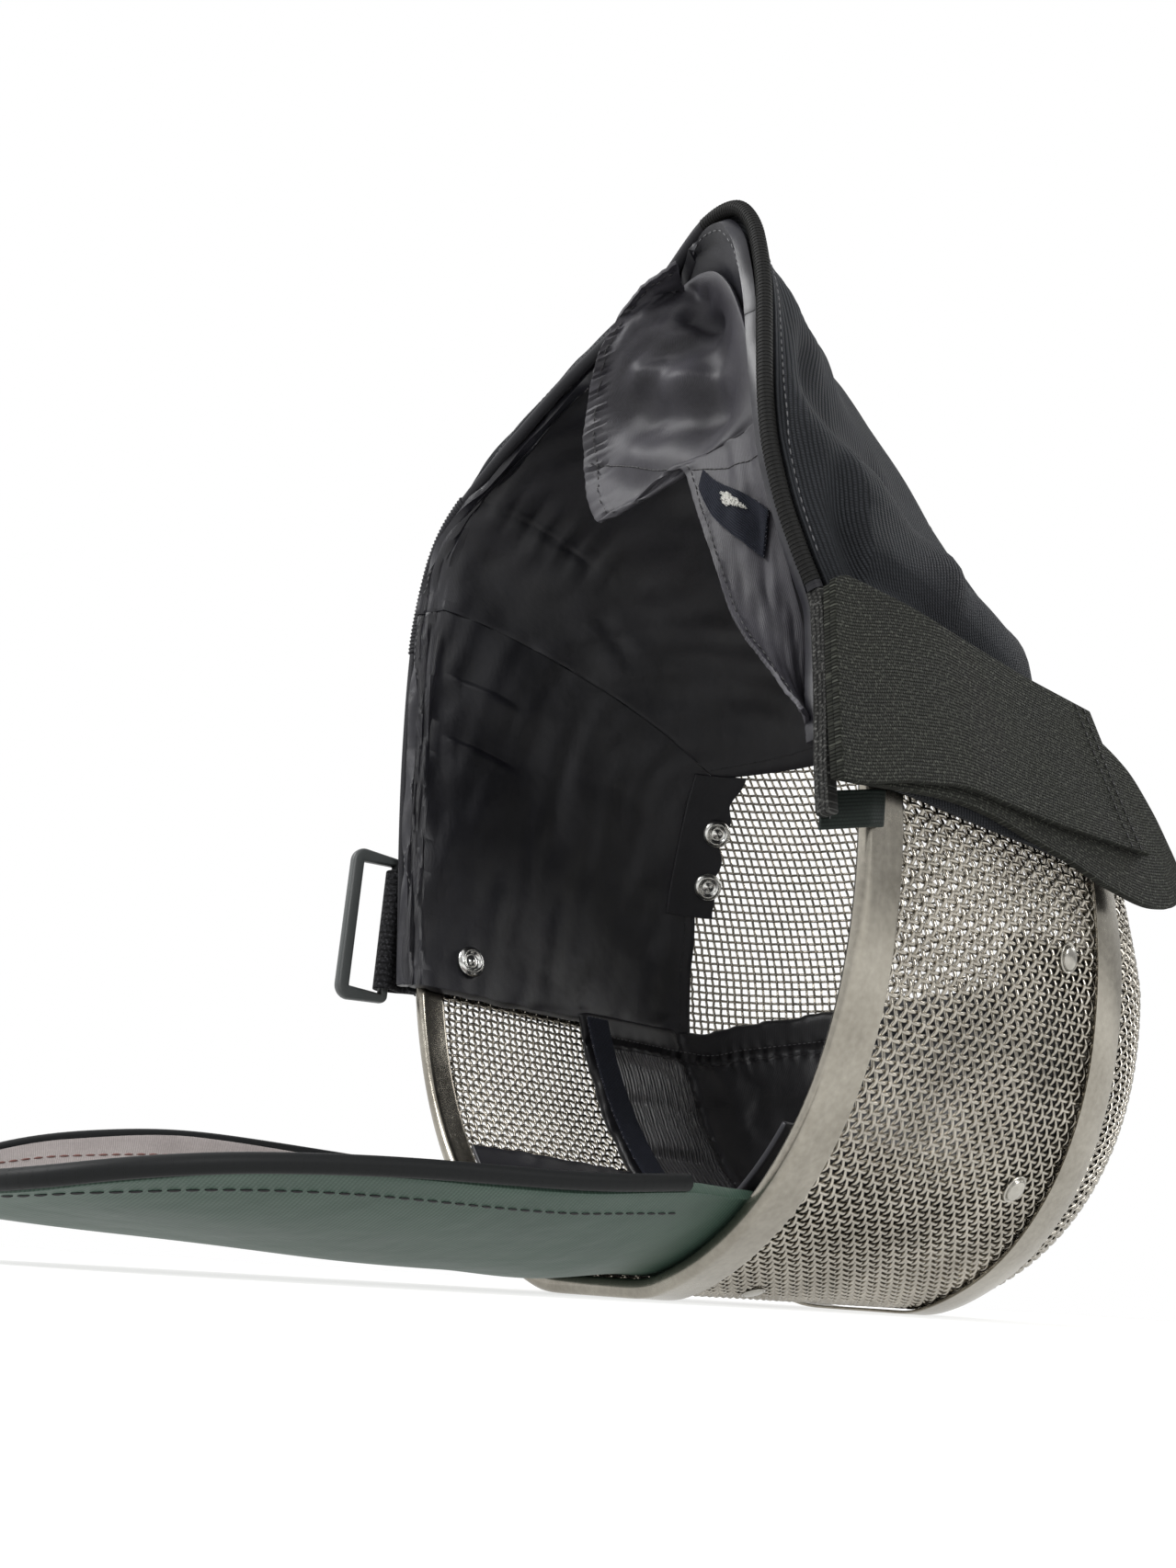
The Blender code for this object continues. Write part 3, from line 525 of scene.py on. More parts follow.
class Tree:
    """Adds and links nodes in a node tree."""

    def __init__(self, tree: NodeTree) -> None:
        """Keeps the tree."""
        self.tree = tree

    def add(self, kind: str, values: dict | None = None, **settings: object) -> Node:
        """Adds a node.

        Args:
            kind: The node's type.
            values: Value or source socket by input name or number.
            settings: Other properties of the node.

        Returns:
            The node.
        """
        node = self.tree.nodes.new(kind)
        for key, value in settings.items():
            setattr(node, key, value)
        for key, value in (values or {}).items():
            socket = node.inputs[key]
            if isinstance(value, Socket):
                self.tree.links.new(value, socket)
            else:
                socket.default_value = value
        return node

    def math(self, operation: str, a: object, b: object = 0.0, c: object = 0.0) -> Socket:
        """Result of a sum on numbers or sockets."""
        return self.add("ShaderNodeMath", {0: a, 1: b, 2: c}, operation=operation).outputs[0]

    def vector(self, operation: str, a: object, b: object) -> Socket:
        """Result of a vector sum."""
        return self.add("ShaderNodeVectorMath", {0: a, 1: b}, operation=operation).outputs[0]

    def colours(self, share: object, a: object, b: object) -> Socket:
        """Mixture of two colours."""
        mixer = self.add("ShaderNodeMix", data_type="RGBA")
        for index, value in ((0, share), (6, a), (7, b)):
            if isinstance(value, Socket):
                self.tree.links.new(value, mixer.inputs[index])
            elif index:
                mixer.inputs[index].default_value = (*value, 1)
            else:
                mixer.inputs[index].default_value = value
        return mixer.outputs[2]

    def noise(self, place: object, scale: object, detail: float, rough: float = 0.5) -> Socket:
        """Fine or coarse noise of 0 to 1."""
        values = {"Vector": place, "Scale": scale, "Detail": detail, "Roughness": rough}
        return self.add("ShaderNodeTexNoise", values).outputs[0]

    def span(self, value: object, low: float, high: float, start: float = 0.0, end: float = 1.0) -> Socket:
        """A value carried from one range to another and kept in it."""
        keys = {"Value": value, "From Min": start, "From Max": end, "To Min": low, "To Max": high}
        return self.add("ShaderNodeMapRange", keys).outputs[0]

    def attribute(self, name: str, kind: str = "FLOAT_VECTOR") -> Socket:
        """Attribute of the mesh that the tree works on."""
        return self.add("GeometryNodeInputNamedAttribute", {"Name": name}, data_type=kind).outputs[0]

    def circle(self, sides: object, radius: object) -> Socket:
        """Circle with a few sides."""
        keys = {"Resolution": sides, "Radius": radius}
        return self.add("GeometryNodeCurvePrimitiveCircle", keys).outputs[0]

    def line(self, path: object, pitch: object = None) -> Socket:
        """Curve along a mesh's edges, with even steps where it has a pitch."""
        line = self.add("GeometryNodeMeshToCurve", {"Mesh": path}).outputs[0]
        if pitch is None:
            return line
        keys = {"Curve": line, "Length": pitch}
        return self.add("GeometryNodeResampleCurve", keys, mode="LENGTH").outputs[0]

    def tube(self, line: object, section: object, capped: bool = False) -> Socket:
        """Mesh of a section that is carried along a line."""
        keys = {"Curve": line, "Profile Curve": section, "Fill Caps": capped}
        return self.add("GeometryNodeCurveToMesh", keys).outputs[0]

    def facing(self, direction: object, axis: str, values: dict | None = None, **settings: str) -> Socket:
        """Rotation that turns an axis to a direction."""
        keys = {"Vector": direction, **(values or {})}
        return self.add("FunctionNodeAlignRotationToVector", keys, axis=axis, **settings).outputs[0]

    def copies(self, points: object, shape: object, turn: object, size: object = (1, 1, 1)) -> Socket:
        """Copies of a shape on some points."""
        keys = {"Points": points, "Instance": shape, "Rotation": turn, "Scale": size}
        return self.add("GeometryNodeInstanceOnPoints", keys).outputs[0]


def group(
    name: str, kind: str, inputs: dict[str, tuple[str, object]], outputs: dict[str, str]
) -> tuple[Tree, Node, Node]:
    """Starts a node group with named inputs and outputs.

    Args:
        name: The group's name.
        kind: ShaderNodeTree or GeometryNodeTree.
        inputs: Socket type and first value by input name.
        outputs: Socket type by output name.

    Returns:
        The tree, its input node and its output node.
    """
    made = bpy.data.node_groups.new(name, kind)
    for label, (socket, value) in inputs.items():
        new = made.interface.new_socket(name=label, in_out="INPUT", socket_type=socket)
        if value is not None:
            new.default_value = value
    for label, socket in outputs.items():
        made.interface.new_socket(name=label, in_out="OUTPUT", socket_type=socket)
    tree = Tree(made)
    return tree, made.nodes.new("NodeGroupInput"), made.nodes.new("NodeGroupOutput")


FLOAT, VECTOR = "NodeSocketFloat", "NodeSocketVector"
GEOMETRY, MATERIAL, WHOLE = "NodeSocketGeometry", "NodeSocketMaterial", "NodeSocketInt"


def ribs_group() -> NodeTree:
    """Fine ribs that cross a coordinate, broken up by threads: height and thread mask."""
    tree, given, made = group(
        "thread_ribs", "ShaderNodeTree",
        {
            "Place": (VECTOR, None), "Rib pitch": (FLOAT, 1.0), "Thread pitch": (FLOAT, 0.6),
            "Wobble": (FLOAT, 0.3),
        },
        {"Height": FLOAT, "Thread": FLOAT},
    )
    wobble = tree.noise(given.outputs["Place"], 0.35, 2.0)
    cut = tree.add("ShaderNodeSeparateXYZ", {0: given.outputs["Place"]})
    shift = tree.math("MULTIPLY", wobble, given.outputs["Wobble"])
    across = tree.math("DIVIDE", tree.math("ADD", cut.outputs[1], shift), given.outputs["Rib pitch"])
    along = tree.math("DIVIDE", cut.outputs[0], given.outputs["Thread pitch"])
    row = tree.math("FLOOR", across)
    stagger = tree.math("ADD", along, tree.math("MULTIPLY", row, 0.5))
    rib = tree.math("SINE", tree.math("MULTIPLY", tree.math("FRACT", across), math.pi))
    thread = tree.math("SINE", tree.math("MULTIPLY", tree.math("FRACT", stagger), math.pi))
    height = tree.math("MULTIPLY", rib, tree.math("MULTIPLY_ADD", thread, 0.45, 0.55))
    tree.tree.links.new(height, made.inputs["Height"])
    tree.tree.links.new(thread, made.inputs["Thread"])
    return tree.tree


def cloud_group() -> NodeTree:
    """Soft and fine variation of a surface, from its own coordinates."""
    tree, given, made = group(
        "surface_cloud", "ShaderNodeTree",
        {"Place": (VECTOR, None), "Large": (FLOAT, 0.05), "Small": (FLOAT, 1.0), "Contrast": (FLOAT, 1.0)},
        {"Value": FLOAT, "Grain": FLOAT},
    )
    large = tree.noise(given.outputs["Place"], given.outputs["Large"], 4.0)
    small = tree.noise(given.outputs["Place"], given.outputs["Small"], 2.0)
    both = tree.math("MULTIPLY_ADD", small, 0.35, tree.math("MULTIPLY", large, 0.65))
    centred = tree.math("MULTIPLY_ADD", tree.math("SUBTRACT", both, 0.5), given.outputs["Contrast"], 0.5)
    tree.tree.links.new(tree.add("ShaderNodeClamp", {0: centred}).outputs[0], made.inputs["Value"])
    tree.tree.links.new(small, made.inputs["Grain"])
    return tree.tree


RIBS, CLOUD = ribs_group(), cloud_group()


class Weave(Enum):
    """How a cloth is made, as rib pitch and thread pitch in millimetres."""

    RIBBED = (1.15, 0.7)
    SATIN = (0.42, 0.3)
    ELASTIC = (0.85, 0.9)
    WEBBING = (2.2, 1.6)
    BRAID = (1.4, 1.0)
    COATED = (0.9, 0.9)
    FLEECE = (0.6, 0.5)
    GATHERED = (1.3, 9.0)


class Dresser(Tree):
    """A new material's node tree, its coordinates and its shader."""

    def __init__(self, name: str) -> None:
        """Starts the material."""
        self.material = bpy.data.materials.new(name)
        self.material.use_nodes = True
        super().__init__(self.material.node_tree)
        self.shader = self.tree.nodes["Principled BSDF"]
        self.where = self.add("ShaderNodeTexCoord")

    def in_object(self) -> Socket:
        """Object coordinates in millimetres."""
        return self.vector("MULTIPLY", self.where.outputs["Object"], (1000, 1000, 1000))

    def cloud(self, place: Socket, **values: float) -> tuple[Socket, ...]:
        """Soft value and fine grain of the surface at a place."""
        keys = {"Place": place, **values}
        return tuple(self.add("ShaderNodeGroup", keys, node_tree=CLOUD).outputs)

    def dress(self, colour: Socket, rough: Socket, height: Socket, strength: float) -> Material:
        """Feeds the shader.

        Args:
            colour: Colour of the surface.
            rough: Its roughness.
            height: Its relief in millimetres.
            strength: How much of the relief shows.

        Returns:
            The finished material.
        """
        bump = self.add("ShaderNodeBump", {"Height": height, "Strength": strength, "Distance": MM})
        for label, value in (("Base Color", colour), ("Roughness", rough), ("Normal", bump.outputs[0])):
            self.tree.links.new(value, self.shader.inputs[label])
        return self.material


@dataclass(frozen=True)
class ClothFinish:
    """Cloth, from its two colours, its weave and its gloss."""

    name: str
    dark: Colour
    light: Colour
    weave: Weave
    rough: tuple[float, float]
    depth: float
    sheen: float
    fleck: float = 0.0
    crease: float = 0.0
    in_object: bool = False
    gloss: float = 0.12

    def make(self) -> Material:
        """Builds the material."""
        look = Dresser(self.name)
        place = look.in_object() if self.in_object else look.where.outputs["UV"]
        rib, thread = self.weave.value
        pitches = {"Place": place, "Rib pitch": rib, "Thread pitch": thread}
        height = look.add("ShaderNodeGroup", pitches, node_tree=RIBS).outputs["Height"]
        cloud, grain = look.cloud(place, Contrast=1.6)
        # Painted shade and light in the weave: the colour darkens in the grooves and lightens on the thread
        # tops, times a random tone from the cloud.
        share = look.math("MULTIPLY", look.math("MULTIPLY", height, cloud), 1.7)
        colour = look.colours(share, self.dark, self.light)
        if self.fleck:
            spots = look.span(look.noise(place, 1.2, 1.0), 0, self.fleck, 0.56, 0.64)
            colour = look.colours(spots, colour, tuple(min(3.6 * c + 0.01, 1) for c in self.light))
        height = look.math("MULTIPLY", height, self.depth)
        height = look.math("MULTIPLY_ADD", grain, 0.3 * self.depth, height)
        if self.crease:
            height = look.math("MULTIPLY_ADD", look.noise(place, 0.11, 2.0, 0.4), self.crease, height)
        for label, value in (
            ("Sheen Weight", self.sheen), ("Sheen Roughness", 0.45), ("Specular IOR Level", self.gloss),
            ("Sheen Tint", (*(min(5 * c + 0.1, 1) for c in self.light), 1)),
        ):
            look.shader.inputs[label].default_value = value
        return look.dress(colour, look.span(cloud, *self.rough), height, 0.8)


@dataclass(frozen=True)
class MetalFinish:
    """Metal, from its two colours, its gloss and its dents."""

    name: str
    dark: Colour
    light: Colour
    rough: tuple[float, float]
    dents: float
    brushed: tuple[float, float, float] = (0.05, 3.0, 1.0)

    def make(self) -> Material:
        """Builds the material."""
        look = Dresser(self.name)
        place = look.in_object()
        cloud, _ = look.cloud(place, Contrast=2.2, Small=0.6)
        lines = look.noise(look.vector("MULTIPLY", look.where.outputs["UV"], self.brushed), 1.0, 3.0, 0.6)
        mixed = look.math("MULTIPLY_ADD", lines, 0.5, look.math("MULTIPLY", cloud, 0.5))
        scratches = look.math("MULTIPLY", lines, 0.01)
        height = look.math("MULTIPLY_ADD", look.noise(place, 0.12, 2.0), self.dents, scratches)
        look.shader.inputs["Metallic"].default_value = 1.0
        colour = look.colours(cloud, self.dark, self.light)
        return look.dress(colour, look.span(mixed, *self.rough, 0.25, 0.75), height, 1.0)


@dataclass(frozen=True)
class MouldedFinish:
    """Moulded plastic or thread, from its colour, its gloss and its grain."""

    name: str
    colour: Colour
    rough: tuple[float, float]
    grain: float = 0.03
    scale: float = 2.5

    def make(self) -> Material:
        """Builds the material."""
        look = Dresser(self.name)
        cloud, grain = look.cloud(look.in_object(), Small=self.scale)
        darker, lighter = (tuple(min(share * c, 1) for c in self.colour) for share in (0.7, 1.25))
        height = look.math("MULTIPLY", grain, self.grain)
        return look.dress(look.colours(cloud, darker, lighter), look.span(cloud, *self.rough), height, 0.7)


class Finish(Enum):
    """Every finish of the mask."""

    WIRE = MetalFinish("steel_wire", (0.26, 0.24, 0.205), (0.57, 0.535, 0.47), (0.16, 0.28), 0.0)
    BAND = MetalFinish("steel_band", (0.24, 0.22, 0.185), (0.42, 0.395, 0.34), (0.18, 0.28), 0.1)
    RIVET = MetalFinish("rivet_steel", (0.34, 0.325, 0.29), (0.56, 0.54, 0.49), (0.2, 0.34), 0.1)
    SNAP = MetalFinish("snap_nickel", (0.5, 0.5, 0.48), (0.75, 0.75, 0.73), (0.12, 0.26), 0.02)
    COVER = ClothFinish(
        "ribbed_cover_cloth", (0.004, 0.0045, 0.0055), (0.026, 0.028, 0.032), Weave.RIBBED, (0.65, 0.9), 0.45,
        0.08,
    )
    SATIN = ClothFinish(
        "lining_satin", (0.003, 0.003, 0.004), (0.0155, 0.0153, 0.021), Weave.SATIN, (0.32, 0.46), 0.04, 0.03,
        crease=0.35, gloss=0.42,
    )
    PAD = ClothFinish(
        "pad_satin", (0.003, 0.003, 0.004), (0.012, 0.0115, 0.014), Weave.SATIN, (0.32, 0.45), 0.04, 0.03,
        crease=0.3, gloss=0.3, in_object=True,
    )
    # Its lighter colour is a painted highlight on the gathers of the pad satin; its ribs and higher gloss are
    # real.
    GATHERED = ClothFinish(
        "gathered_satin", (0.006, 0.006, 0.008), (0.045, 0.044, 0.048), Weave.GATHERED, (0.26, 0.4), 0.3, 0.05,
        gloss=0.6, in_object=True,
    )
    # The flap satin is lighter than the lining satin as painted light on a flap whose face turns away from the
    # lamps; its tint is its own.
    FLAP = ClothFinish(
        "flap_satin", (0.005, 0.0045, 0.006), (0.042, 0.040, 0.050), Weave.SATIN, (0.42, 0.58), 0.04, 0.05,
        crease=0.3, gloss=0.36,
    )
    PIPING = ClothFinish(
        "piping_satin", (0.006, 0.006, 0.0075), (0.034, 0.034, 0.038), Weave.SATIN, (0.4, 0.6), 0.08, 0.08,
        crease=0.2,
    )
    LOOP = ClothFinish(
        "loop_tape", (0.004, 0.005, 0.008), (0.022, 0.024, 0.034), Weave.FLEECE, (0.85, 1.0), 0.3, 0.1
    )
    FUZZ = MouldedFinish("tape_fuzz", (0.10, 0.10, 0.12), (0.4, 0.6))
    FRAYED = MouldedFinish("frayed_thread", (0.17, 0.14, 0.135), (0.4, 0.6))
    ELASTIC = ClothFinish(
        "ribbed_elastic", (0.004, 0.0042, 0.0035), (0.020, 0.021, 0.017), Weave.ELASTIC, (0.7, 0.95), 0.4, 0.06,
        fleck=0.5,
    )
    WEBBING = ClothFinish(
        "dotted_webbing", (0.003, 0.003, 0.0035), (0.016, 0.016, 0.018), Weave.WEBBING, (0.6, 0.85), 0.5, 0.05,
        fleck=0.4,
    )
    BRAID = ClothFinish(
        "edge_braid", (0.004, 0.004, 0.004), (0.034, 0.034, 0.032), Weave.BRAID, (0.5, 0.75), 0.6, 0.05,
        fleck=0.5,
    )
    BIB = ClothFinish(
        "coated_bib", (0.020, 0.042, 0.031), (0.056, 0.092, 0.070), Weave.COATED, (0.4, 0.55), 0.02, 0.05,
        crease=0.5, gloss=0.35,
    )
    BIB_INNER = ClothFinish(
        "bib_inner_cloth", (0.16, 0.14, 0.135), (0.32, 0.29, 0.28), Weave.SATIN, (0.5, 0.7), 0.05, 0.1,
        crease=0.3,
    )
    KEEPER = ClothFinish(
        "keeper_skin", (0.004, 0.006, 0.005), (0.014, 0.02, 0.017), Weave.COATED, (0.35, 0.55), 0.05, 0.05
    )
    BINDING = ClothFinish(
        "bib_binding_tape", (0.004, 0.0045, 0.0045), (0.018, 0.019, 0.02), Weave.SATIN, (0.4, 0.6), 0.06, 0.05,
        crease=0.3,
    )
    PLASTIC = MouldedFinish("dark_plastic", (0.050, 0.055, 0.055), (0.3, 0.48))
    THREAD = MouldedFinish("black_thread", (0.010, 0.0095, 0.011), (0.45, 0.65))
    GREY_THREAD = MouldedFinish("grey_thread", (0.085, 0.085, 0.09), (0.45, 0.65))
    RUST_THREAD = MouldedFinish("reddish_thread", (0.16, 0.07, 0.06), (0.5, 0.7))
    WHITE_THREAD = MouldedFinish("white_thread", (0.75, 0.74, 0.70), (0.5, 0.7))

    @property
    def material(self) -> Material:
        """The finish's material."""
        return MATERIALS[self]


MATERIALS = {finish: finish.value.make() for finish in Finish}


# ---------------------------------------------------------------- geometry nodes


def maker_tree(
    name: str, base: str, inputs: dict[str, tuple[str, object]]
) -> tuple[Tree, Inputs, Callable[[Socket], NodeTree]]:
    """Starts a tree that makes geometry from a base and gives it a finish.

    Args:
        name: The tree's name.
        base: Name of its geometry input.
        inputs: Socket type and first value of its other inputs.

    Returns:
        The tree, its inputs, and a function that ends it with smooth faces, real geometry and the finish.
    """
    sockets = {base: (GEOMETRY, None), **inputs, "Finish": (MATERIAL, None)}
    tree, given, made = group(name, "GeometryNodeTree", sockets, {"Made": GEOMETRY})

    def end(mesh: Socket) -> NodeTree:
        """Ends the tree."""
        smooth = tree.add("GeometryNodeSetShadeSmooth", {0: mesh}).outputs[0]
        real = tree.add("GeometryNodeRealizeInstances", {0: smooth}).outputs[0]
        keys = {"Geometry": real, "Material": given.outputs["Finish"]}
        tree.tree.links.new(tree.add("GeometryNodeSetMaterial", keys).outputs[0], made.inputs[0])
        return tree.tree

    return tree, given.outputs, end


def wire_tree() -> NodeTree:
    """Round crimped wires along the edges of a lattice."""
    tree, given, end = maker_tree(
        "woven_wire", "Lattice", {"Radius": (FLOAT, 0.0005), "Crimp": (FLOAT, 0.0005), "Sides": (WHOLE, 4)}
    )
    lift = tree.math("MULTIPLY", tree.attribute("over", "FLOAT"), given["Crimp"])
    keys = {0: tree.attribute("out"), "Scale": lift}
    offset = tree.add("ShaderNodeVectorMath", keys, operation="SCALE").outputs[0]
    moved = tree.add("GeometryNodeSetPosition", {"Geometry": given["Lattice"], "Offset": offset})
    return end(tree.tube(tree.line(moved.outputs[0]), tree.circle(given["Sides"], given["Radius"]), True))


def stitch_tree() -> NodeTree:
    """Stitches at even steps along a path."""
    sizes = {"Pitch": (FLOAT, 0.003), "Length": (FLOAT, 0.002), "Thickness": (FLOAT, 0.0005)}
    tree, given, end = maker_tree("stitch_run", "Path", sizes)
    along = tree.facing(tree.add("GeometryNodeInputTangent").outputs[0], "X")
    turn = tree.facing(tree.attribute("out"), "Z", {"Rotation": along}, pivot_axis="X")
    bead = tree.add("GeometryNodeMeshUVSphere", {"Segments": 6, "Rings": 5, "Radius": 0.5}).outputs[0]
    sizes = {0: given["Length"], 1: given["Thickness"], 2: given["Thickness"]}
    size = tree.add("ShaderNodeCombineXYZ", sizes).outputs[0]
    return end(tree.copies(tree.line(given["Path"], given["Pitch"]), bead, turn, size))


def cord_tree() -> NodeTree:
    """A round cord wrapped by fine rings, along a path."""
    tree, given, end = maker_tree(
        "ringed_cord", "Path", {"Radius": (FLOAT, 0.002), "Pitch": (FLOAT, 0.0012), "Ring": (FLOAT, 0.0003)}
    )
    even = tree.line(given["Path"], given["Pitch"])
    section = tree.circle(14, given["Radius"])
    ring = tree.tube(section, tree.circle(4, given["Ring"]))
    turn = tree.facing(tree.add("GeometryNodeInputTangent").outputs[0], "Z")
    both = tree.add("GeometryNodeJoinGeometry")
    for mesh in (tree.tube(even, section, True), tree.copies(even, ring, turn)):
        tree.tree.links.new(mesh, both.inputs[0])
    return end(both.outputs[0])


def fuzz_tree() -> NodeTree:
    """Small loops of thread scattered over a surface."""
    tree, given, end = maker_tree(
        "thread_fuzz", "Base", {"Density": (FLOAT, 1.0e6), "Size": (FLOAT, 0.0008), "Seed": (WHOLE, 3)}
    )
    keys = {"Mesh": given["Base"], "Density": given["Density"], "Seed": given["Seed"]}
    points = tree.add("GeometryNodeDistributePointsOnFaces", keys).outputs["Points"]
    keys = {"Resolution": 5, "Radius": given["Size"], "Sweep Angle": 4.0}
    arc = tree.add("GeometryNodeCurveArc", keys).outputs[0]
    loop = tree.tube(arc, tree.circle(3, tree.math("MULTIPLY", given["Size"], 0.22)))
    spin = tree.add("FunctionNodeRandomValue", data_type="FLOAT_VECTOR")
    spin.inputs["Min"].default_value, spin.inputs["Max"].default_value = (0, 0, 0), (6.28, 6.28, 6.28)
    return end(tree.copies(points, loop, spin.outputs[0]))


def heads_tree() -> NodeTree:
    """Copies of one solid, turned and sized by the attributes of the points that they sit on."""
    tree, given, end = maker_tree("set_heads", "Seats", {"Head": ("NodeSocketObject", None)})
    head = tree.add("GeometryNodeObjectInfo", {"Object": given["Head"]}).outputs["Geometry"]
    turn = tree.facing(tree.attribute("out"), "Z")
    return end(tree.copies(given["Seats"], head, turn, tree.attribute("size")))


class Maker(Enum):
    """The geometry node trees by what they make."""

    WIRE = "woven_wire"
    STITCH = "stitch_run"
    CORD = "ringed_cord"
    FUZZ = "thread_fuzz"
    HEADS = "set_heads"


TREES = {
    Maker.WIRE: wire_tree(), Maker.STITCH: stitch_tree(), Maker.CORD: cord_tree(),
    Maker.FUZZ: fuzz_tree(), Maker.HEADS: heads_tree(),
}


def grow(
    maker: Maker, name: str, base: Mesh, finish: Finish, slot: str, nodes: Sequence[str] = (),
    **sizes: object,
) -> Piece:
    """Runs a tree on a mesh and places the result as a plain mesh.

    Args:
        maker: Which tree.
        name: Name of the piece.
        base: Mesh that the tree starts from, which is used up.
        finish: The piece's finish.
        slot: The record's material slot.
        nodes: Nodes that it stands for.
        sizes: Value by input name.

    Returns:
        The new object.
    """
    carrier = bpy.data.objects.new("carrier", base)
    bpy.context.scene.collection.objects.link(carrier)
    work = carrier.modifiers.new("Make", "NODES")
    work.node_group = TREES[maker]
    sizes["Finish"] = finish.material
    for item in TREES[maker].interface.items_tree:
        if item.name in sizes:
            work[item.identifier] = sizes[item.name]
    mesh = applied(carrier)
    mesh.name = name
    bpy.data.objects.remove(carrier)
    bpy.data.meshes.remove(base)
    return place(name, mesh, finish, nodes, slot)


def lattice(points: Array, out: Array, over: Array, valid: Array) -> Mesh:
    """Mesh of open lines with the attributes that the trees read.

    Args:
        points: Points by line and place, in millimetres.
        out: Outward direction of each point.
        over: Side of the crossing wire that each point lies on.
        valid: Whether a point exists.

    Returns:
        A mesh of vertices and edges.
    """
    index = np.full(valid.shape, -1)
    index[valid] = np.arange(int(valid.sum()))
    joined = valid[:, :-1] & valid[:, 1:]
    edges = np.stack([index[:, :-1][joined], index[:, 1:][joined]], -1)
    mesh = bpy.data.meshes.new("lattice")
    mesh.from_pydata(to_frame(points[valid]).tolist(), edges.tolist(), [])
    for label, kind, key, values in (("out", "FLOAT_VECTOR", "vector", out), ("over", "FLOAT", "value", over)):
        layer = mesh.attributes.new(label, kind, "POINT")
        layer.data.foreach_set(key, values[valid].reshape(-1).astype(np.float32))
    return mesh


def path_mesh(points: Array, out: Array) -> Mesh:
    """Mesh of one open line."""
    return lattice(points[None], out[None], np.zeros((1, len(points))), np.ones((1, len(points)), bool))


class Thread(Enum):
    """Kinds of stitch, as pitch, length and thickness in millimetres."""

    HEM = (2.6, 2.0, 0.42)
    BOLD = (3.2, 2.5, 0.55)
    FINE = (1.9, 1.5, 0.32)
    SEAM = (1.6, 2.2, 0.5)
    DOT = (1.7, 0.8, 0.4)


def stitches(
    name: str, surface: Surface, u: Array | float, v: Array | float, lift: float, kind: Thread, finish: Finish,
    slot: str, steps: tuple[float, float] = (0.01, 0.01),
) -> Piece:
    """A run of stitches along a line on a surface.

    Args:
        name: Name of the piece.
        surface: Point function of two values.
        u: First values along the line.
        v: Second values along the line.
        lift: How far the stitches stand off the surface, along its normal.
        kind: Size of the stitches.
        finish: The thread's finish.
        slot: The record's material slot.
        steps: Differences by which the normal is found.

    Returns:
        The run as one object.
    """
    u, v = (np.array(values, float) for values in np.broadcast_arrays(u, v))
    out = normal_of(surface, u, v, *steps)
    points = surface(u, v) + out * lift
    pitch, length, thickness = (size * MM for size in kind.value)
    line = path_mesh(points, out)
    return grow(Maker.STITCH, name, line, finish, slot, Pitch=pitch, Length=length, Thickness=thickness)


def cord(
    name: str, points: Array, out: Array, sizes: tuple[float, ...], finish: Finish, nodes: Sequence[str] = ()
) -> None:
    """A cord wrapped by rings along a line.

    Args:
        name: Name of the piece.
        points: Points of the line.
        out: Outward directions along it.
        sizes: The cord's radius, the rings' pitch and the rings' own radius.
        finish: Its finish.
        nodes: Nodes that it stands for.
    """
    radius, pitch, ring = (size * MM for size in sizes)
    line = path_mesh(points, out)
    grow(Maker.CORD, name, line, finish, "satin", nodes, Radius=radius, Pitch=pitch, Ring=ring)


def fuzz(
    name: str, base: Mesh, density: float, size: float, seed: int, finish: Finish, slot: str
) -> None:
    """Loops of thread scattered over a mesh.

    Args:
        name: Name of the piece.
        base: The mesh, which is used up.
        density: Loops to the square metre.
        size: Radius of a loop.
        seed: Fixes their places.
        finish: The thread's finish.
        slot: The record's material slot.
    """
    grow(Maker.FUZZ, name, base, finish, slot, Density=density, Size=size * MM, Seed=seed)


# ---------------------------------------------------------------- wires


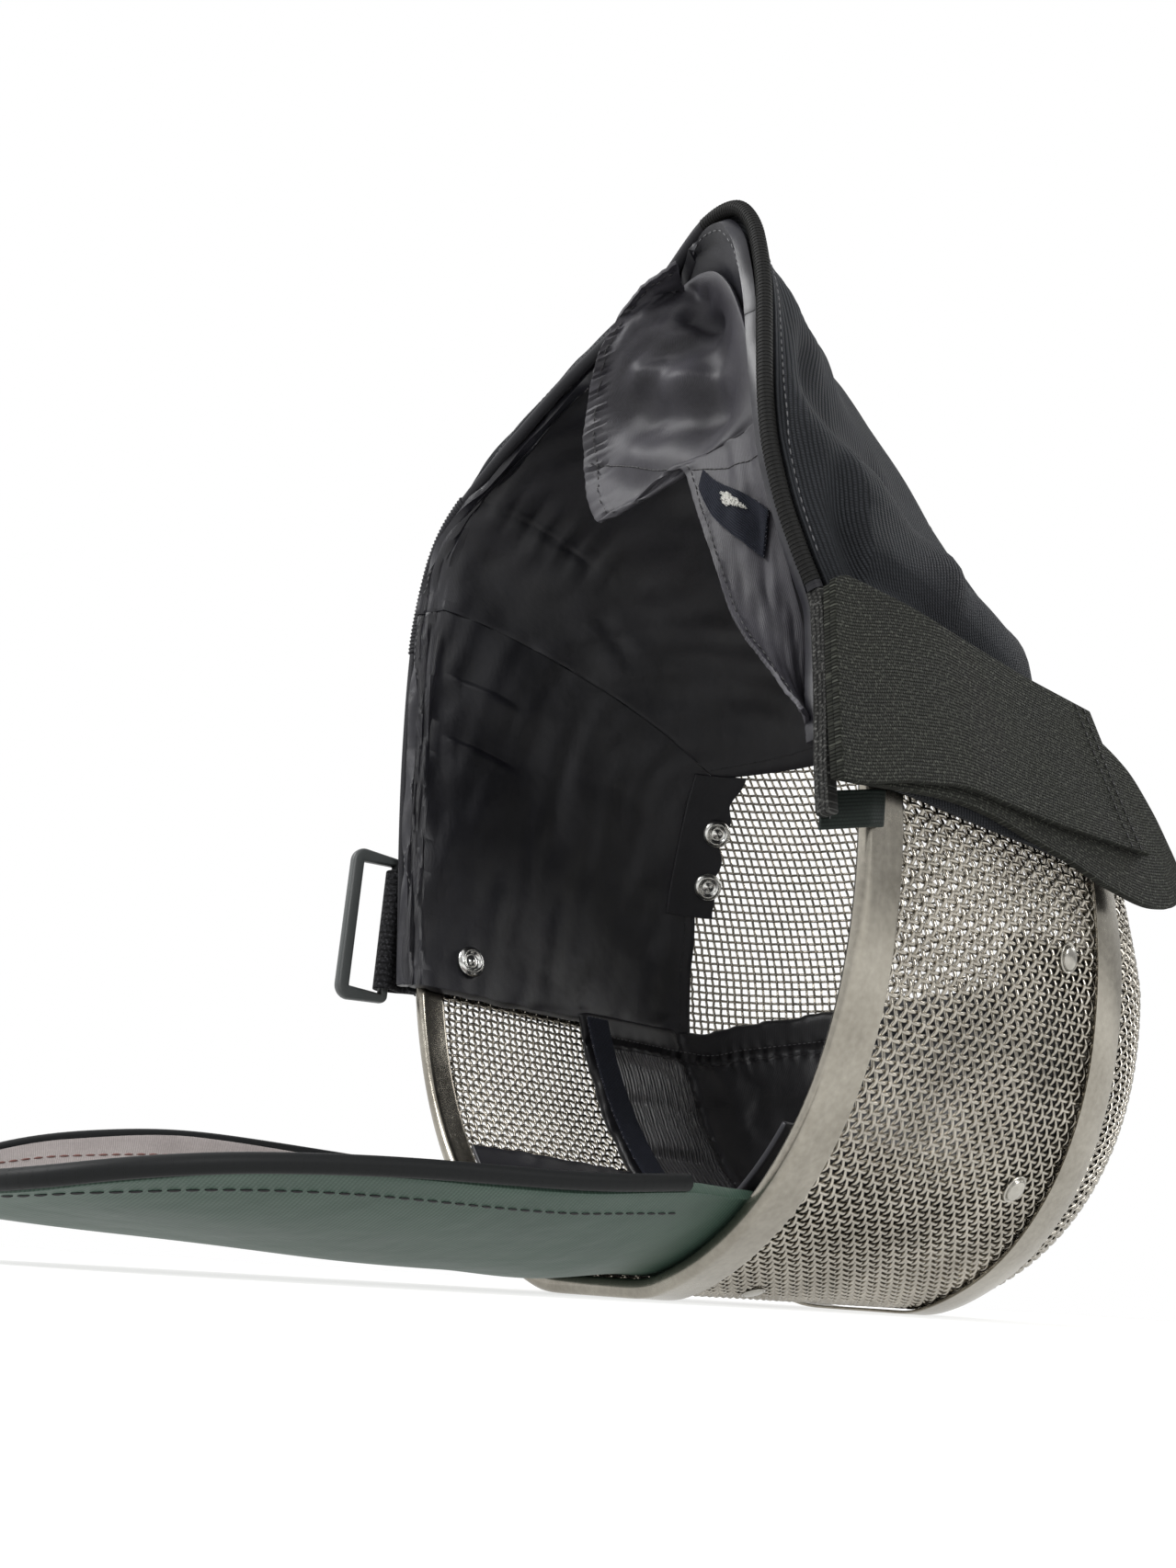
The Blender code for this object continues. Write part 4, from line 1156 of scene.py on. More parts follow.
@dataclass
class WireMesh:
    """The woven side mesh and the woven front mesh."""

    side_pitch: float = 2.55
    front_pitch: float = 2.87
    radius: float = 0.52
    crimp: float = 0.48
    bend: float = 0.3
    front_bend: float = 0.22
    short: float = 0.6
    side_top: float = 203.0
    front_top: float = 286.0
    front_reach: float = 250.0
    clothed_above: tuple[float, float] = (124.0, 99.0)
    clothed_before: float = 56.0

    def jaw_curve(self) -> tuple[Array, Array]:
        """Arc length and height along the straight sides' section, from the chin's middle."""
        z = np.concatenate([np.linspace(0, 1, 60) ** 2 * 12, np.linspace(12.5, 204, 500)])
        x = SHELL.half_width(z)
        flat = SHELL.flattened(z)
        return np.concatenate([[0], np.cumsum(np.hypot(np.diff(x), np.diff(flat)))]), z

    def side_points(self, y: Array, z: Array) -> tuple[Array, Array]:
        """Points and outward directions of the right side by depth and height."""
        x = SHELL.wall_x(y, z)
        point = np.stack([x, y, SHELL.flattened(z)], -1)
        slope_y = (SHELL.wall_x(y + 0.2, z) - SHELL.wall_x(y - 0.2, z)) / 0.4
        slope_z = (SHELL.wall_x(y, z + 0.05) - SHELL.wall_x(y, np.maximum(z - 0.05, 0))) / 0.1
        out = unit(np.stack([np.ones_like(x), -slope_y, -slope_z], -1))
        flat = (z < SHELL.chin_flat)[..., None]
        return point, np.where(flat, np.array([0.0, 0.0, -1.0]), out)

    def make(self, name: str, mesh: Mesh, nodes: Sequence[str], sides: int = 4) -> None:
        """Turns a lattice into wires."""
        sizes = {"Radius": self.radius * MM, "Crimp": self.crimp * MM, "Sides": sides}
        grow(Maker.WIRE, name, mesh, Finish.WIRE, "steel_wire", nodes, **sizes)

    def side(self) -> None:
        """Wires of the side mesh, along the head and around it."""
        lengths, heights = self.jaw_curve()
        pitch, bend = self.side_pitch, self.bend
        count = int(lengths[-1] / pitch)
        places = (np.arange(-count, count) + 0.5) * pitch
        depths = np.arange(-10, 45) * pitch
        steps = np.array([-bend, 0.0, bend]) * pitch
        crest = [math.cos(math.pi * bend), 1.0, math.cos(math.pi * bend)]
        signs = (-1.0) ** (np.arange(len(places))[:, None] + np.arange(len(depths))[None])

        def wires(name: str, s: Array, y: Array, sides: Array) -> None:
            """Wires through places round the section and depths."""
            z = np.interp(np.abs(s), lengths, heights)
            points, out = self.side_points(y, z)
            flip = np.stack([np.sign(s), np.ones_like(s), np.ones_like(s)], -1)
            inside = (y > SHELL.rim_y(z) + self.short) & (y < SHELL.seam_y(z) - self.short)
            inside = inside & (z < self.side_top)
            clothed = (z > np.where(s > 0, *self.clothed_above)) & (y < self.clothed_before)
            over = np.repeat(sides, 3, 1) * np.tile(crest, sides.shape[1])
            self.make(name, lattice(points * flip, out * flip, over, inside & ~clothed), ["side_mesh"], 5)

        s, y = np.meshgrid(places, (depths[:, None] + steps).reshape(-1), indexing="ij")
        wires("side_wires_along", s, y, signs)
        y, s = np.meshgrid(depths, (places[:, None] + steps).reshape(-1), indexing="ij")
        wires("side_wires_around", s, y, -signs.T)

    def levels(self) -> Array:
        """Heights of the front mesh's level wires."""
        pitch = self.front_pitch
        found, z = [], 0.35
        while z < self.front_top:
            slope = float(SHELL.front_y(np.array(z + 0.1)) - SHELL.front_y(np.array(z - 0.1))) / 0.2
            steep = 1 / math.hypot(1, slope)
            found.append(z)
            z += pitch * (steep if z < SHELL.nose else min(max(1.25 * steep, 0.45), 1.0))
        return np.array(found)

    def front_points(self, z: Array, s: Array) -> tuple[Array, Array]:
        """Points of the dome by height and length round the level slice from its middle.

        Args:
            z: Heights, one for each row.
            s: Lengths, the same for every row.

        Returns:
            Points, and whether they lie in the mesh.
        """
        points = np.zeros((len(z), len(s), 3))
        valid = np.zeros((len(z), len(s)), bool)
        for row, height in enumerate(z):
            angle = np.linspace(0, math.pi / 2, 160)
            start, width = float(SHELL.side_end(height)), float(SHELL.half_width(height))
            reach = float(SHELL.front_y(height)) - start
            x = np.append(width * np.sin(angle), width)
            y = np.append(start + reach * np.cos(angle), -60.0)
            lengths = np.concatenate([[0], np.cumsum(np.hypot(np.diff(x), np.diff(y)))])
            far = np.abs(s)
            px, py = np.interp(far, lengths, x), np.interp(far, lengths, y)
            flat = float(SHELL.flattened(np.array(height)))
            points[row] = np.stack([np.sign(s) * px, py, np.full(len(s), flat)], -1)
            low = float(SHELL.seam_y(np.array(height)) if height < 204 else SHELL.rim_y(np.array(height)))
            hidden = (py < 8) & (height > 215)
            valid[row] = (py > low + self.short) & ~hidden
        return points, valid

    def front(self) -> None:
        """Wires of the front mesh, level and upright."""
        pitch, bend = self.front_pitch, np.array([-self.front_bend, self.front_bend])
        heights = self.levels()
        count = int(self.front_reach / pitch)
        places = np.arange(-count, count + 1) * pitch
        signs = (-1.0) ** (np.arange(len(heights))[:, None] + np.arange(len(places))[None])

        def nodes(z: Array, s: Array) -> tuple[Array, Array, Array]:
            """Points, outward directions and whether they lie in the mesh."""
            points, valid = self.front_points(z, s)
            above = self.front_points(z + 0.15, s)[0]
            below = self.front_points(z - 0.15, s)[0]
            aside = self.front_points(z, s + 0.2)[0] - self.front_points(z, s - 0.2)[0]
            return points, unit(np.cross(above - below, aside)), valid

        s = (places[:, None] + bend * pitch).reshape(-1)
        points, out, valid = nodes(heights, s)
        self.make("front_wires_level", lattice(points, out, np.repeat(signs, 2, 1), valid), ["front_mesh"])
        rank = np.arange(len(heights))
        z = np.interp((rank[:, None] + bend).reshape(-1), rank, heights)
        points, out, valid = nodes(z, places)
        over = np.repeat(-signs, 2, 0)
        turned = [a.swapaxes(0, 1) for a in (points, out, over, valid)]
        self.make("front_wires_upright", lattice(*turned), ["front_mesh"])


# ---------------------------------------------------------------- bands and rivets


@dataclass
class SteelBands:
    """The folded rim band, the two strips that clamp the seam, and the rivets."""

    sheet: float = 0.8
    middle: float = 1.9
    outside: float = 11.0
    inside: float = 8.0
    seam: float = 12.0
    seam_end: float = 105.0
    rivets: tuple[tuple[float, float, float, float], ...] = (
        (77.0, 89.0, 4.1, 1.7), (84.0, 33.0, 4.1, 1.7), (31.0, 2.1, 3.4, 0.5),
    )

    def profile(self) -> list[tuple[float, float]]:
        """Places of the rim band's section: along the mesh and off it."""
        fold = [
            (0.4 - 1.15 * math.sin(a), self.middle * math.cos(a))
            for a in np.linspace(0.15, math.pi - 0.15, 9)
        ]
        outer = [(a, self.middle) for a in (self.outside, 10.2, 7.5, 5.0, 2.6, 1.2)]
        inner = [(a, -self.middle) for a in (1.2, 3.0, 5.2, 7.2, self.inside)]
        return outer + fold + inner

    def rim(self) -> None:
        """The band that is folded over the rear edge."""
        profile = self.profile()
        alongs = np.array([p[0] for p in profile])
        offsets = np.array([p[1] for p in profile])

        def point(turn: Array, place: Array) -> Array:
            """Point of the band by turn and place in its section."""
            along, offset = alongs[place.astype(int)], offsets[place.astype(int)]
            y, rim, inward, out = SHELL.rim_frame(turn)
            wave = 0.10 * ripple(turn * 2.2, along * 1.5, 11, 42.0)
            offset = offset + np.where(along > 1.5, wave * np.sign(offset), 0)
            high = SHELL.lifted(y + along, turn, offset)
            low = rim + inward * along[..., None] + out * offset[..., None]
            return np.where((along > 0.5)[..., None], high, low)

        net = Net(point, np.linspace(0, 360, 289), np.arange(len(profile)), closed=True)
        band = place("rim_band_steel", net.mesh("rim_band_steel"), Finish.BAND, ["rim_band"], "steel_band")
        thicken(band, self.sheet, 0.25)

    def seams(self) -> None:
        """The outer and the inner strip on the seam."""
        for name, node, offset, shrink in (
            ("seam_band_steel", "seam_band", self.middle, 1.0),
            ("seam_band_back", "seam_band_inner", -self.middle - 0.4, 0.9),
        ):

            def point(turn: Array, across: Array, offset: float = offset, shrink: float = shrink) -> Array:
                """Point of a strip by turn and distance from the seam."""
                crown = 0.25 * (1 - (2 * across / self.seam) ** 2) * np.sign(offset)
                wave = 0.08 * ripple(turn * 2.2, across * 1.5, 17, 38.0)
                return SHELL.lifted(SHELL.seam_at(turn, across * shrink), turn, offset + crown + wave)

            across = np.array([-1, -0.93, -0.6, -0.2, 0.2, 0.6, 0.93, 1]) * self.seam / 2
            turns = np.linspace(-self.seam_end, self.seam_end, 181)
            panel(name, point, turns, across, Finish.BAND, node, "steel_band", self.sheet, 0.2)

    def heads(self) -> None:
        """Low domed rivets beside the seam."""
        dome = [(0.0, 1.0)]
        dome += [(0.8 * math.sin(a), math.cos(a) * 0.7 + 0.3) for a in np.linspace(0.25, 1.5, 7)]
        dome += [(0.8, -0.2), (0.9, -0.2), (0.93, 0.25), (1.0, 0.2), (1.02, -0.3), (0.0, -0.3)]
        points, faces = revolve(dome, 28)
        head_mesh = bpy.data.meshes.new("rivet_head")
        head_mesh.from_pydata(points.tolist(), [], faces)
        head = bpy.data.objects.new("rivet_head", head_mesh)
        seats, outs, sizes, names = [], [], [], []
        for side, sign in (("right", 1), ("left", -1)):
            for number, (y, height, radius, rise) in enumerate(self.rivets, 1):
                turn = sign * (float(SHELL.turn_at(height, y)) if height > SHELL.chin_flat else 14.0)
                seats.append(SHELL.lifted(np.array(y), np.array(turn), 1.15))
                outs.append(SHELL.normal(np.array(y), np.array(turn)))
                sizes.append(np.array([radius, 0.84 * radius, rise]) * MM)
                names.append(f"rivet_{side}_{number}")
        seat = bpy.data.meshes.new("seats")
        seat.from_pydata(to_frame(np.array(seats)).tolist(), [], [])
        for label, rows in (("out", outs), ("size", sizes)):
            layer = seat.attributes.new(label, "FLOAT_VECTOR", "POINT")
            layer.data.foreach_set("vector", np.array(rows).reshape(-1).astype(np.float32))
        grow(Maker.HEADS, "rivet_heads", seat, Finish.RIVET, "steel_band", names, Head=head)
        bpy.data.objects.remove(head)


# ---------------------------------------------------------------- cloth over and in the crown


HOOD_EDGE = (
    (68, 101.5, -21.0, 96), (76, 101.5, -21.5, 112), (85, 101.8, -21.5, 134), (93, 101.5, -21.5, 153),
    (100, 100.0, -27.0, 169), (106, 99.0, -32.0, 183), (112, 98.8, -36.0, 199), (121, 99.5, -38.0, 219),
    (132, 99.5, -38.0, 241), (143, 97.0, -38.0, 264), (152, 90.0, -38.5, 279), (160, 76.0, -37.5, 284),
    (168, 48.0, -34.0, 278), (180, 4.0, -29.0, 279.5), (190, -30.0, -26.0, 276), (201, -58.0, -24.5, 269.5),
    (209, -73.5, -24.0, 263.5), (216, -86.5, -22.5, 255), (226, -95.5, -20.5, 241.5),
    (238, -100.0, -19.5, 219.5), (254, -102.0, -17.0, 182.5), (270, -103.0, -13.5, 146),
    (282, -102.5, -10.5, 116), (292, -101.5, -8.5, 92),
)
COVER_FRONT = (
    (68, 78), (82, 80), (95, 76), (108, 62), (120, 42), (135, 26), (155, 18), (180, 15),
    (205, 18), (225, 26), (240, 42), (252, 62), (265, 76), (278, 80), (292, 78),
)
EDGE_X, EDGE_Y, EDGE_Z = (Smooth(HOOD_EDGE, column) for column in (1, 2, 3))


def hood_edge(turn: Array) -> Array:
    """Point on the hood's free edge."""
    return np.stack([EDGE_X(turn), EDGE_Y(turn), EDGE_Z(turn)], -1)


def hood(turn: Array, share: Array, offset_rim: float, offset_edge: float, stop: float) -> Array:
    """Cloth from behind the rim band to the hood's free edge, which it leaves free by stop."""
    _, rim, inward, out = SHELL.rim_frame(turn)
    base = rim - inward * 1.7 + out * offset_rim
    edge = hood_edge(turn)
    along = unit(edge - base)
    around = unit(hood_edge(turn + 1) - hood_edge(turn - 1))
    side = np.cross(along, around)
    slant = np.maximum(np.linalg.norm(side, axis=-1, keepdims=True), 0.5)
    side = unit(side) * np.where((side * out).sum(-1, keepdims=True) < 0, -1, 1)
    return mix(base, edge - along * stop / slant + side * offset_edge, share)


def above(right: float, left: float, turn: Array, y: Array) -> Array:
    """Turn kept above a height on the right and one on the left."""
    y = np.maximum(y, 0)
    low, high = SHELL.turn_at(right, y), 360 - SHELL.turn_at(left, y)
    first, last = SHELL.turn_at(right), 360 - SHELL.turn_at(left)
    return np.clip(turn, low + 0.4 * (turn - first), high - 0.4 * (last - turn))


def draped(right: float, left: float, offset: float, lip: float, stop: float, front: Line) -> Surface:
    """Cloth that runs from a front edge over the rim to the hood's free edge.

    Args:
        right: Height of its lower edge on the right.
        left: Height of its lower edge on the left.
        offset: How far its middle stands off the wires.
        lip: How far its middle stands off the free edge.
        stop: How far before the free edge it ends.
        front: Depth of its front edge by turn.

    Returns:
        Point function of turn and share, which is below zero on the hood.
    """

    def point(turn: Array, share: Array) -> Array:
        """Point on the shell or, where share is negative, on the hood."""
        rear = SHELL.edge_depth(SHELL.rim_y, turn) + 2.0
        y = rear + (front(turn) - rear) * np.maximum(share, 0)
        on_shell = SHELL.lifted(y, above(right, left, turn, y), offset)
        behind = hood(turn, np.clip(-share, 0, 1), offset, lip, stop)
        return np.where((share < 0)[..., None], behind, on_shell)

    return point


@dataclass
class CrownCover:
    """The ribbed cover over the crown, with its hood, its piping and its tape."""

    middle: float = 3.9
    sheet: float = 1.6
    right: float = 113.0
    left: float = 92.0
    tape_start: float = 70.8
    tape_end: float = 95.5

    def folds(self, turn: Array, share: Array) -> Array:
        """How far the folds stand off the cover."""
        across, along = turn * 1.8, share * 95
        soft = 0.7 * ripple(across, along, 5, 46.0)
        upper = 0.0
        for start, end in (((205, -80), (199, -30)), ((199, -30), (189, 30))):
            upper = np.maximum(upper, ridge(across, along, start, end, 8.0))
        lower = ridge(across, along, (181, 0), (187, 80), 7.0) * ease((turn - 98) / 2)
        hollow = ridge(across, along, (220, -50), (206, 20), 9.0)
        hollow = hollow + ridge(across, along, (196, 20), (198, 70), 7.0)
        mound = ridge(across, along, (240, -60), (232, 0), 14.0)
        fade = ease((1 - np.abs(share)) / 0.2)
        return -(soft + 5.0 * upper + 4.5 * lower - 2.0 * hollow + 2.5 * mound + 0.8) * fade

    def surface(self) -> Surface:
        """Point function of the cover's middle."""
        front = Smooth(COVER_FRONT, 1)
        base = draped(self.right, self.left, self.middle, 1.2, 2.2, front)
        return raised(base, self.folds, 0.4, 0.01)

    def cover(self) -> None:
        """The cover itself, with stitches along its edges."""
        surface = self.surface()
        first, last = float(SHELL.turn_at(self.right)), 360 - float(SHELL.turn_at(self.left))
        rows = np.concatenate([np.linspace(-1, -0.02, 14), np.linspace(0, 1, 44)])
        obj = panel(
            "crown_cover_cloth", surface, np.linspace(first, last, 230), rows, Finish.COVER, "crown_cover",
            "cover_cloth", self.sheet, 0.4,
        )
        for name, start, share, kind, thread in (
            ("cover_front_stitches", first + 1, 0.965, Thread.BOLD, Finish.THREAD),
            ("cover_hood_stitches", 100, -0.9, Thread.HEM, Finish.GREY_THREAD),
        ):
            turn = np.linspace(start, last - 1, 300)
            stitches(name, surface, turn, share, -0.85, kind, thread, "cover_cloth", (0.4, 0.01))

    def piping(self) -> None:
        """Corded piping on the hood's free edge, with gathers on the left and braid on the right."""
        turn = np.linspace(self.tape_end, 360 - float(SHELL.turn_at(self.left)), 420)
        points = hood_edge(turn)
        out = unit(points - np.array([0, 0, 150.0]))
        cord("hood_piping", points, out, (2.0, 1.3, 0.06), Finish.PIPING, ["cover_piping"])
        for name, start, end, sizes, finish in (
            ("piping_gathers", 205, 239, (2.35, 1.5, 0.42), Finish.PIPING),
            ("piping_braid", 96, 160, (2.05, 1.1, 0.2), Finish.BRAID),
        ):
            part = slice(*np.searchsorted(turn, (start, end)))
            cord(name, points[part], out[part], sizes, finish)

    def tape(self) -> None:
        """Braided tape on the right of the opening."""

        def point(turn: Array, across: Array) -> Array:
            """Point of the tape by turn and distance from its middle."""
            width = np.stack([across, np.zeros_like(across), np.zeros_like(across)], -1)
            return hood_edge(turn) + width

        turns, across = np.linspace(self.tape_start, self.tape_end, 60), np.linspace(2.3, -2.3, 6)
        panel("edge_tape_braid", point, turns, across, Finish.BRAID, "edge_tape", "cover_cloth", 3.2, 0.7)
        thread = Finish.GREY_THREAD
        for number, across in enumerate((-1.9, -0.6), 1):
            name, turns = f"edge_braid_row_{number}", np.linspace(71, 95, 120)
            stitches(name, point, turns, across, 1.7, Thread.FINE, thread, "cover_cloth", (0.4, 0.1))


@dataclass
class Linings:
    """Padded satin linings of the left wall, the crown and the right wall."""

    middle: float = 5.3
    sheet: float = 3.6
    lip: float = 4.0
    stop: float = 3.0
    right: float = 119.0
    left: float = 91.0
    splits: tuple[float, float] = (131.25, 232.5)
    gap: float = 0.02
    dart: tuple[tuple[float, float], ...] = ((371, -66), (380, 30))
    folds: tuple[Fold, ...] = (
        ((384, 6), (403, 56), 10.0, 1.3), ((397, 46), (404, 60), 3.5, -1.0),
        ((350, -75), (362, -15), 9.0, 1.8), ((388, -70), (396, -20), 7.0, 1.4),
    )
    pockets: tuple[tuple[float, float], ...] = ((243.0, 0.30), (252.8, 0.31))

    @staticmethod
    def side_front(turn: Array) -> Array:
        """Depth of the side linings' front edge."""
        return 115 - 16 * bell(np.abs(turn - 180) - 60, 14)

    @staticmethod
    def crown_front(turn: Array) -> Array:
        """Depth of the crown lining's front edge."""
        return 137 - 7 * (np.abs(turn - 180) / 30) ** 2.86

    def surface(self, front: Line, seed: int, depth: float) -> Surface:
        """Middle of a lining, with its dart, its pockets and soft wrinkles.

        Args:
            front: Depth of its front edge by turn.
            seed: Fixes the wrinkles.
            depth: Their depth.

        Returns:
            Point function of turn and share.
        """
        base = draped(self.right, self.left, -self.middle, -self.lip, self.stop, front)

        def wrinkles(turn: Array, share: Array) -> Array:
            """How far the lining stands off its plain form."""
            across, along = turn * 1.8, share * 110
            fine = ripple(across, along, seed + 1, 11.0, 60, 70)
            waves = ripple(across, along, seed, 30.0) * 0.6 + 0.4 * fine
            fade = ease((1 - np.abs(share)) / 0.12)
            seam = ridge(across, along, *self.dart, 2.2)
            puckers = 0.8 * np.sin(along * 0.9) * ridge(across, along, *self.dart, 9.0)
            folds = sum(rise * ridge(across, along, *line, width) for *line, width, rise in self.folds)
            pockets = 0.0
            for top, width in self.pockets:
                window = ease((share - 0.015) / 0.02) * ease((width - share) / 0.10)
                slope = np.exp(-np.maximum(turn - top, 0) / 5.0)
                pockets = pockets + 0.65 * ease((turn - top) / 0.8) * slope * window
            return depth * waves * fade - depth * fade - (1.5 * seam - puckers - folds - 2.0 * pockets)

        return raised(base, wrinkles, 0.4, 0.01)

    def make(self) -> None:
        """The three linings and their stitches."""
        first, last = float(SHELL.turn_at(self.right)), 360 - float(SHELL.turn_at(self.left))
        right, left = self.splits
        rows = np.concatenate([np.linspace(-1, -0.02, 12), np.linspace(0, 1, 52)])
        for node, start, end, front, seed, depth, columns in (
            ("right_lining", first, right - self.gap, self.side_front, 31, 0.35, 60),
            ("crown_lining", right + self.gap, left - self.gap, self.crown_front, 37, 0.6, 110),
            ("left_lining", left + self.gap, last, self.side_front, 41, 0.8, 150),
        ):
            surface = self.surface(front, seed, depth)
            turns = np.linspace(start, end, columns)
            name = f"{node}_satin"
            panel(name, surface, turns, rows, Finish.SATIN, node, "satin", self.sheet, 0.9)
            turns = np.linspace(start + 0.8, end - 0.8, 200)
            for edge, share, kind, thread in (
                ("front", 0.965, Thread.FINE, Finish.THREAD),
                ("lip", -0.93, Thread.HEM, Finish.GREY_THREAD),
            ):
                name = f"{node}_{edge}_stitches"
                stitches(name, surface, turns, share, 1.9, kind, thread, "satin", (0.4, 0.01))


# ---------------------------------------------------------------- flap


FLAP_HEM = (
    (81, 98.2, -25.0, 127.5), (84, 94.5, -25.6, 132.5), (88, 89, -26.5, 141),
    (97, 79.5, -28.5, 157), (106, 72, -29.5, 179), (115, 66, -30.2, 198),
    (118, 61, -30.8, 211), (119.5, 52, -31.2, 212.8), (121, 33, -32.0, 208), (122.5, 26, -32.3, 210),
    (127, 21.7, -34.0, 224), (133, 22.5, -36.0, 236), (138, 25.7, -38.5, 245), (146, 35.0, -44.0, 253.5),
    (151, 43.7, -46.5, 259.0), (155, 51.5, -46.5, 265.0), (158, 60.0, -46.3, 267.4), (162, 73.5, -46.0, 266.6),
)
FLAP_FOLDS = (
    ((58, 50), (40, 38), 4.5, 1.8), ((40, 38), (30, 26), 5.0, 2.8), ((30, 26), (25, 14), 5.0, 2.4),
    ((28, 44), (19, 22), 8.5, -4.6), ((56, 22), (46, 13), 3.5, -3.4), ((42, 30), (44, 22), 6.0, -1.6),
    ((32, 54), (14, 40), 5.0, 1.6), ((14, 40), (7, 28), 5.0, 1.4), ((62, 40), (50, 30), 4.0, 1.4),
    ((16, 56), (10, 48), 4.0, -1.2), ((-12, 22), (-24, 32), 5.0, 1.6), ((-26, 16), (-40, 26), 5.0, -1.4),
)


@dataclass
class BackFlap:
    """The satin flap at the right of the hood, with its strip and its patch of loop tape."""

    sheet: float = 1.0
    first: float = 81.0
    last: float = 162.0
    notch: float = 119.0
    sewn_at: float = 0.72
    seat: float = 4.4

    def base(self, turn: Array, share: Array) -> Array:
        """Point of the flap before its wrinkles, from its sewn edge to its hem."""
        held = hood(turn, np.full(np.shape(turn), self.sewn_at), -5.3, -4.0, 4.4)
        aim = np.stack([np.zeros_like(turn), held[..., 1], np.full(np.shape(turn), 150.0)], -1)
        held = held + unit(aim - held) * self.seat
        hem = np.stack([Smooth(FLAP_HEM, column)(turn) for column in (1, 2, 3)], -1)
        sag = 2.5 * np.sin(math.pi * share) * np.where(turn > self.notch, 1, 0.4)
        point = mix(held, hem, share)
        valley = 7.0 * bell(share - 0.27, 0.15) * ease((turn - 120) / 8) * ease((160 - turn) / 12)
        point[..., 1] += sag + valley
        return point

    def wrinkles(self, turn: Array, share: Array) -> Array:
        """How far the wrinkles stand off the flap."""
        across, along = (turn - 120) * 2.0, share * 60
        height = 0.5 * ripple(across, along, 51, 30.0) + 0.25 * ripple(across, along, 52, 12.0, 30, 80)
        for start, end, width, rise in FLAP_FOLDS:
            height = height + rise * ridge(across, along, start, end, width)
        pucker = 0.45 * np.sin(across * 2.4) * bell(share - 0.93, 0.08) + 0.3 * ease((share - 0.9) / 0.02)
        return (height * ease(share / 0.2) + pucker) * np.where(turn > self.notch, 1, 0.6)

    def surface(self) -> Surface:
        """Point function of the flap."""
        return raised(self.base, self.wrinkles, 0.2, 0.01)

    def make(self) -> None:
        """The flap, its hem, its stitches and the loop patch."""
        surface = self.surface()
        turns = np.concatenate([np.linspace(self.first, self.last, 150), np.linspace(117, 122, 40)])
        turns = np.unique(turns)
        obj = panel(
            "back_flap_satin", surface, turns, np.linspace(0, 1, 56), Finish.FLAP, "back_flap", "satin",
            self.sheet, 0.2,
        )
        for name, turns, shares, count, lift, kind in (
            ("flap_hem_stitches", (121.5, 161), (0.93, 0.93), 160, 0.62, Thread.HEM),
            ("strip_hem_stitches", (83, 117.5), (0.93, 0.93), 160, 0.62, Thread.HEM),
            ("flap_seam_1", (129.6, 122.6), (0.95, 0.52), 40, 0.5, Thread.SEAM),
            ("flap_seam_2", (117.2, 114.6), (0.9, 0.05), 40, 0.5, Thread.SEAM),
        ):
            turn, share = np.linspace(*turns, count), np.linspace(*shares, count)
            stitches(name, surface, turn, share, lift, kind, Finish.THREAD, "satin", (0.2, 0.01))
        self.patch(surface)

    def patch(self, surface: Surface) -> None:
        """The three-cornered patch of loop tape with its fuzz and its white tear."""

        def corner(along: Array, across: Array) -> tuple[Array, Array]:
            """Turn and share of the patch's own directions."""
            turn = mix(mix(115.6, 103.0, along), mix(116.6, 107.6, along), across)
            low = mix(0.86, 0.30, along) + 0.16 * np.sin(math.pi * along)
            return turn, mix(low, mix(0.76, 0.05, along), across)

        def point(along: Array, across: Array) -> Array:
            """Point of the tape."""
            return surface(*corner(along, across)) + np.array([0, -1.5, 0])

        rows = np.linspace(0, 1, 50), np.linspace(0, 1, 30)
        panel("loop_patch_tape", point, *rows, Finish.LOOP, "loop_patch", "loop_tape", 0.8, 0.2)
        base = Net(point, *rows).mesh("loop_patch_fuzz")
        fuzz("loop_patch_fuzz", base, 3.5e6, 0.32, 7, Finish.FUZZ, "loop_tape")

        def tear(radius: Array, angle: Array) -> Array:
            """Point of the ragged tear."""
            ragged = radius * (1 + 0.3 * np.sin(3 * angle + 0.6) + 0.2 * np.sin(7 * angle))
            along = 0.50 + 0.16 * ragged * np.cos(angle) + 0.03 * ragged * np.sin(angle)
            return point(along, 0.70 + 0.13 * ragged * np.sin(angle)) + np.array([0, -0.9, 0])

        base = Net(tear, np.linspace(0.02, 1, 8), np.linspace(0, 2 * math.pi, 25)).mesh("loop_patch_tear")
        fuzz("loop_patch_tear", base, 1.2e7, 0.34, 5, Finish.WHITE_THREAD, "loop_tape")


# ---------------------------------------------------------------- chin


def level_arc(z: Array, share: Array) -> Array:
    """Point at a height, from the left rim (-1) round the front (0) to the right rim (1)."""
    start, width = SHELL.straight_seam(z), SHELL.half_width(z)
    side, along = np.sign(share + 1e-12), np.abs(share)
    angle = np.minimum(along, 0.6) / 0.6 * math.pi / 2
    back = np.maximum(along - 0.6, 0) / 0.4 * (start - SHELL.rim_y(z))
    x = side * width * np.sin(angle)
    y = start + (SHELL.front_y(z) - start) * np.cos(angle) - back
    return np.stack([x, y, z], -1)


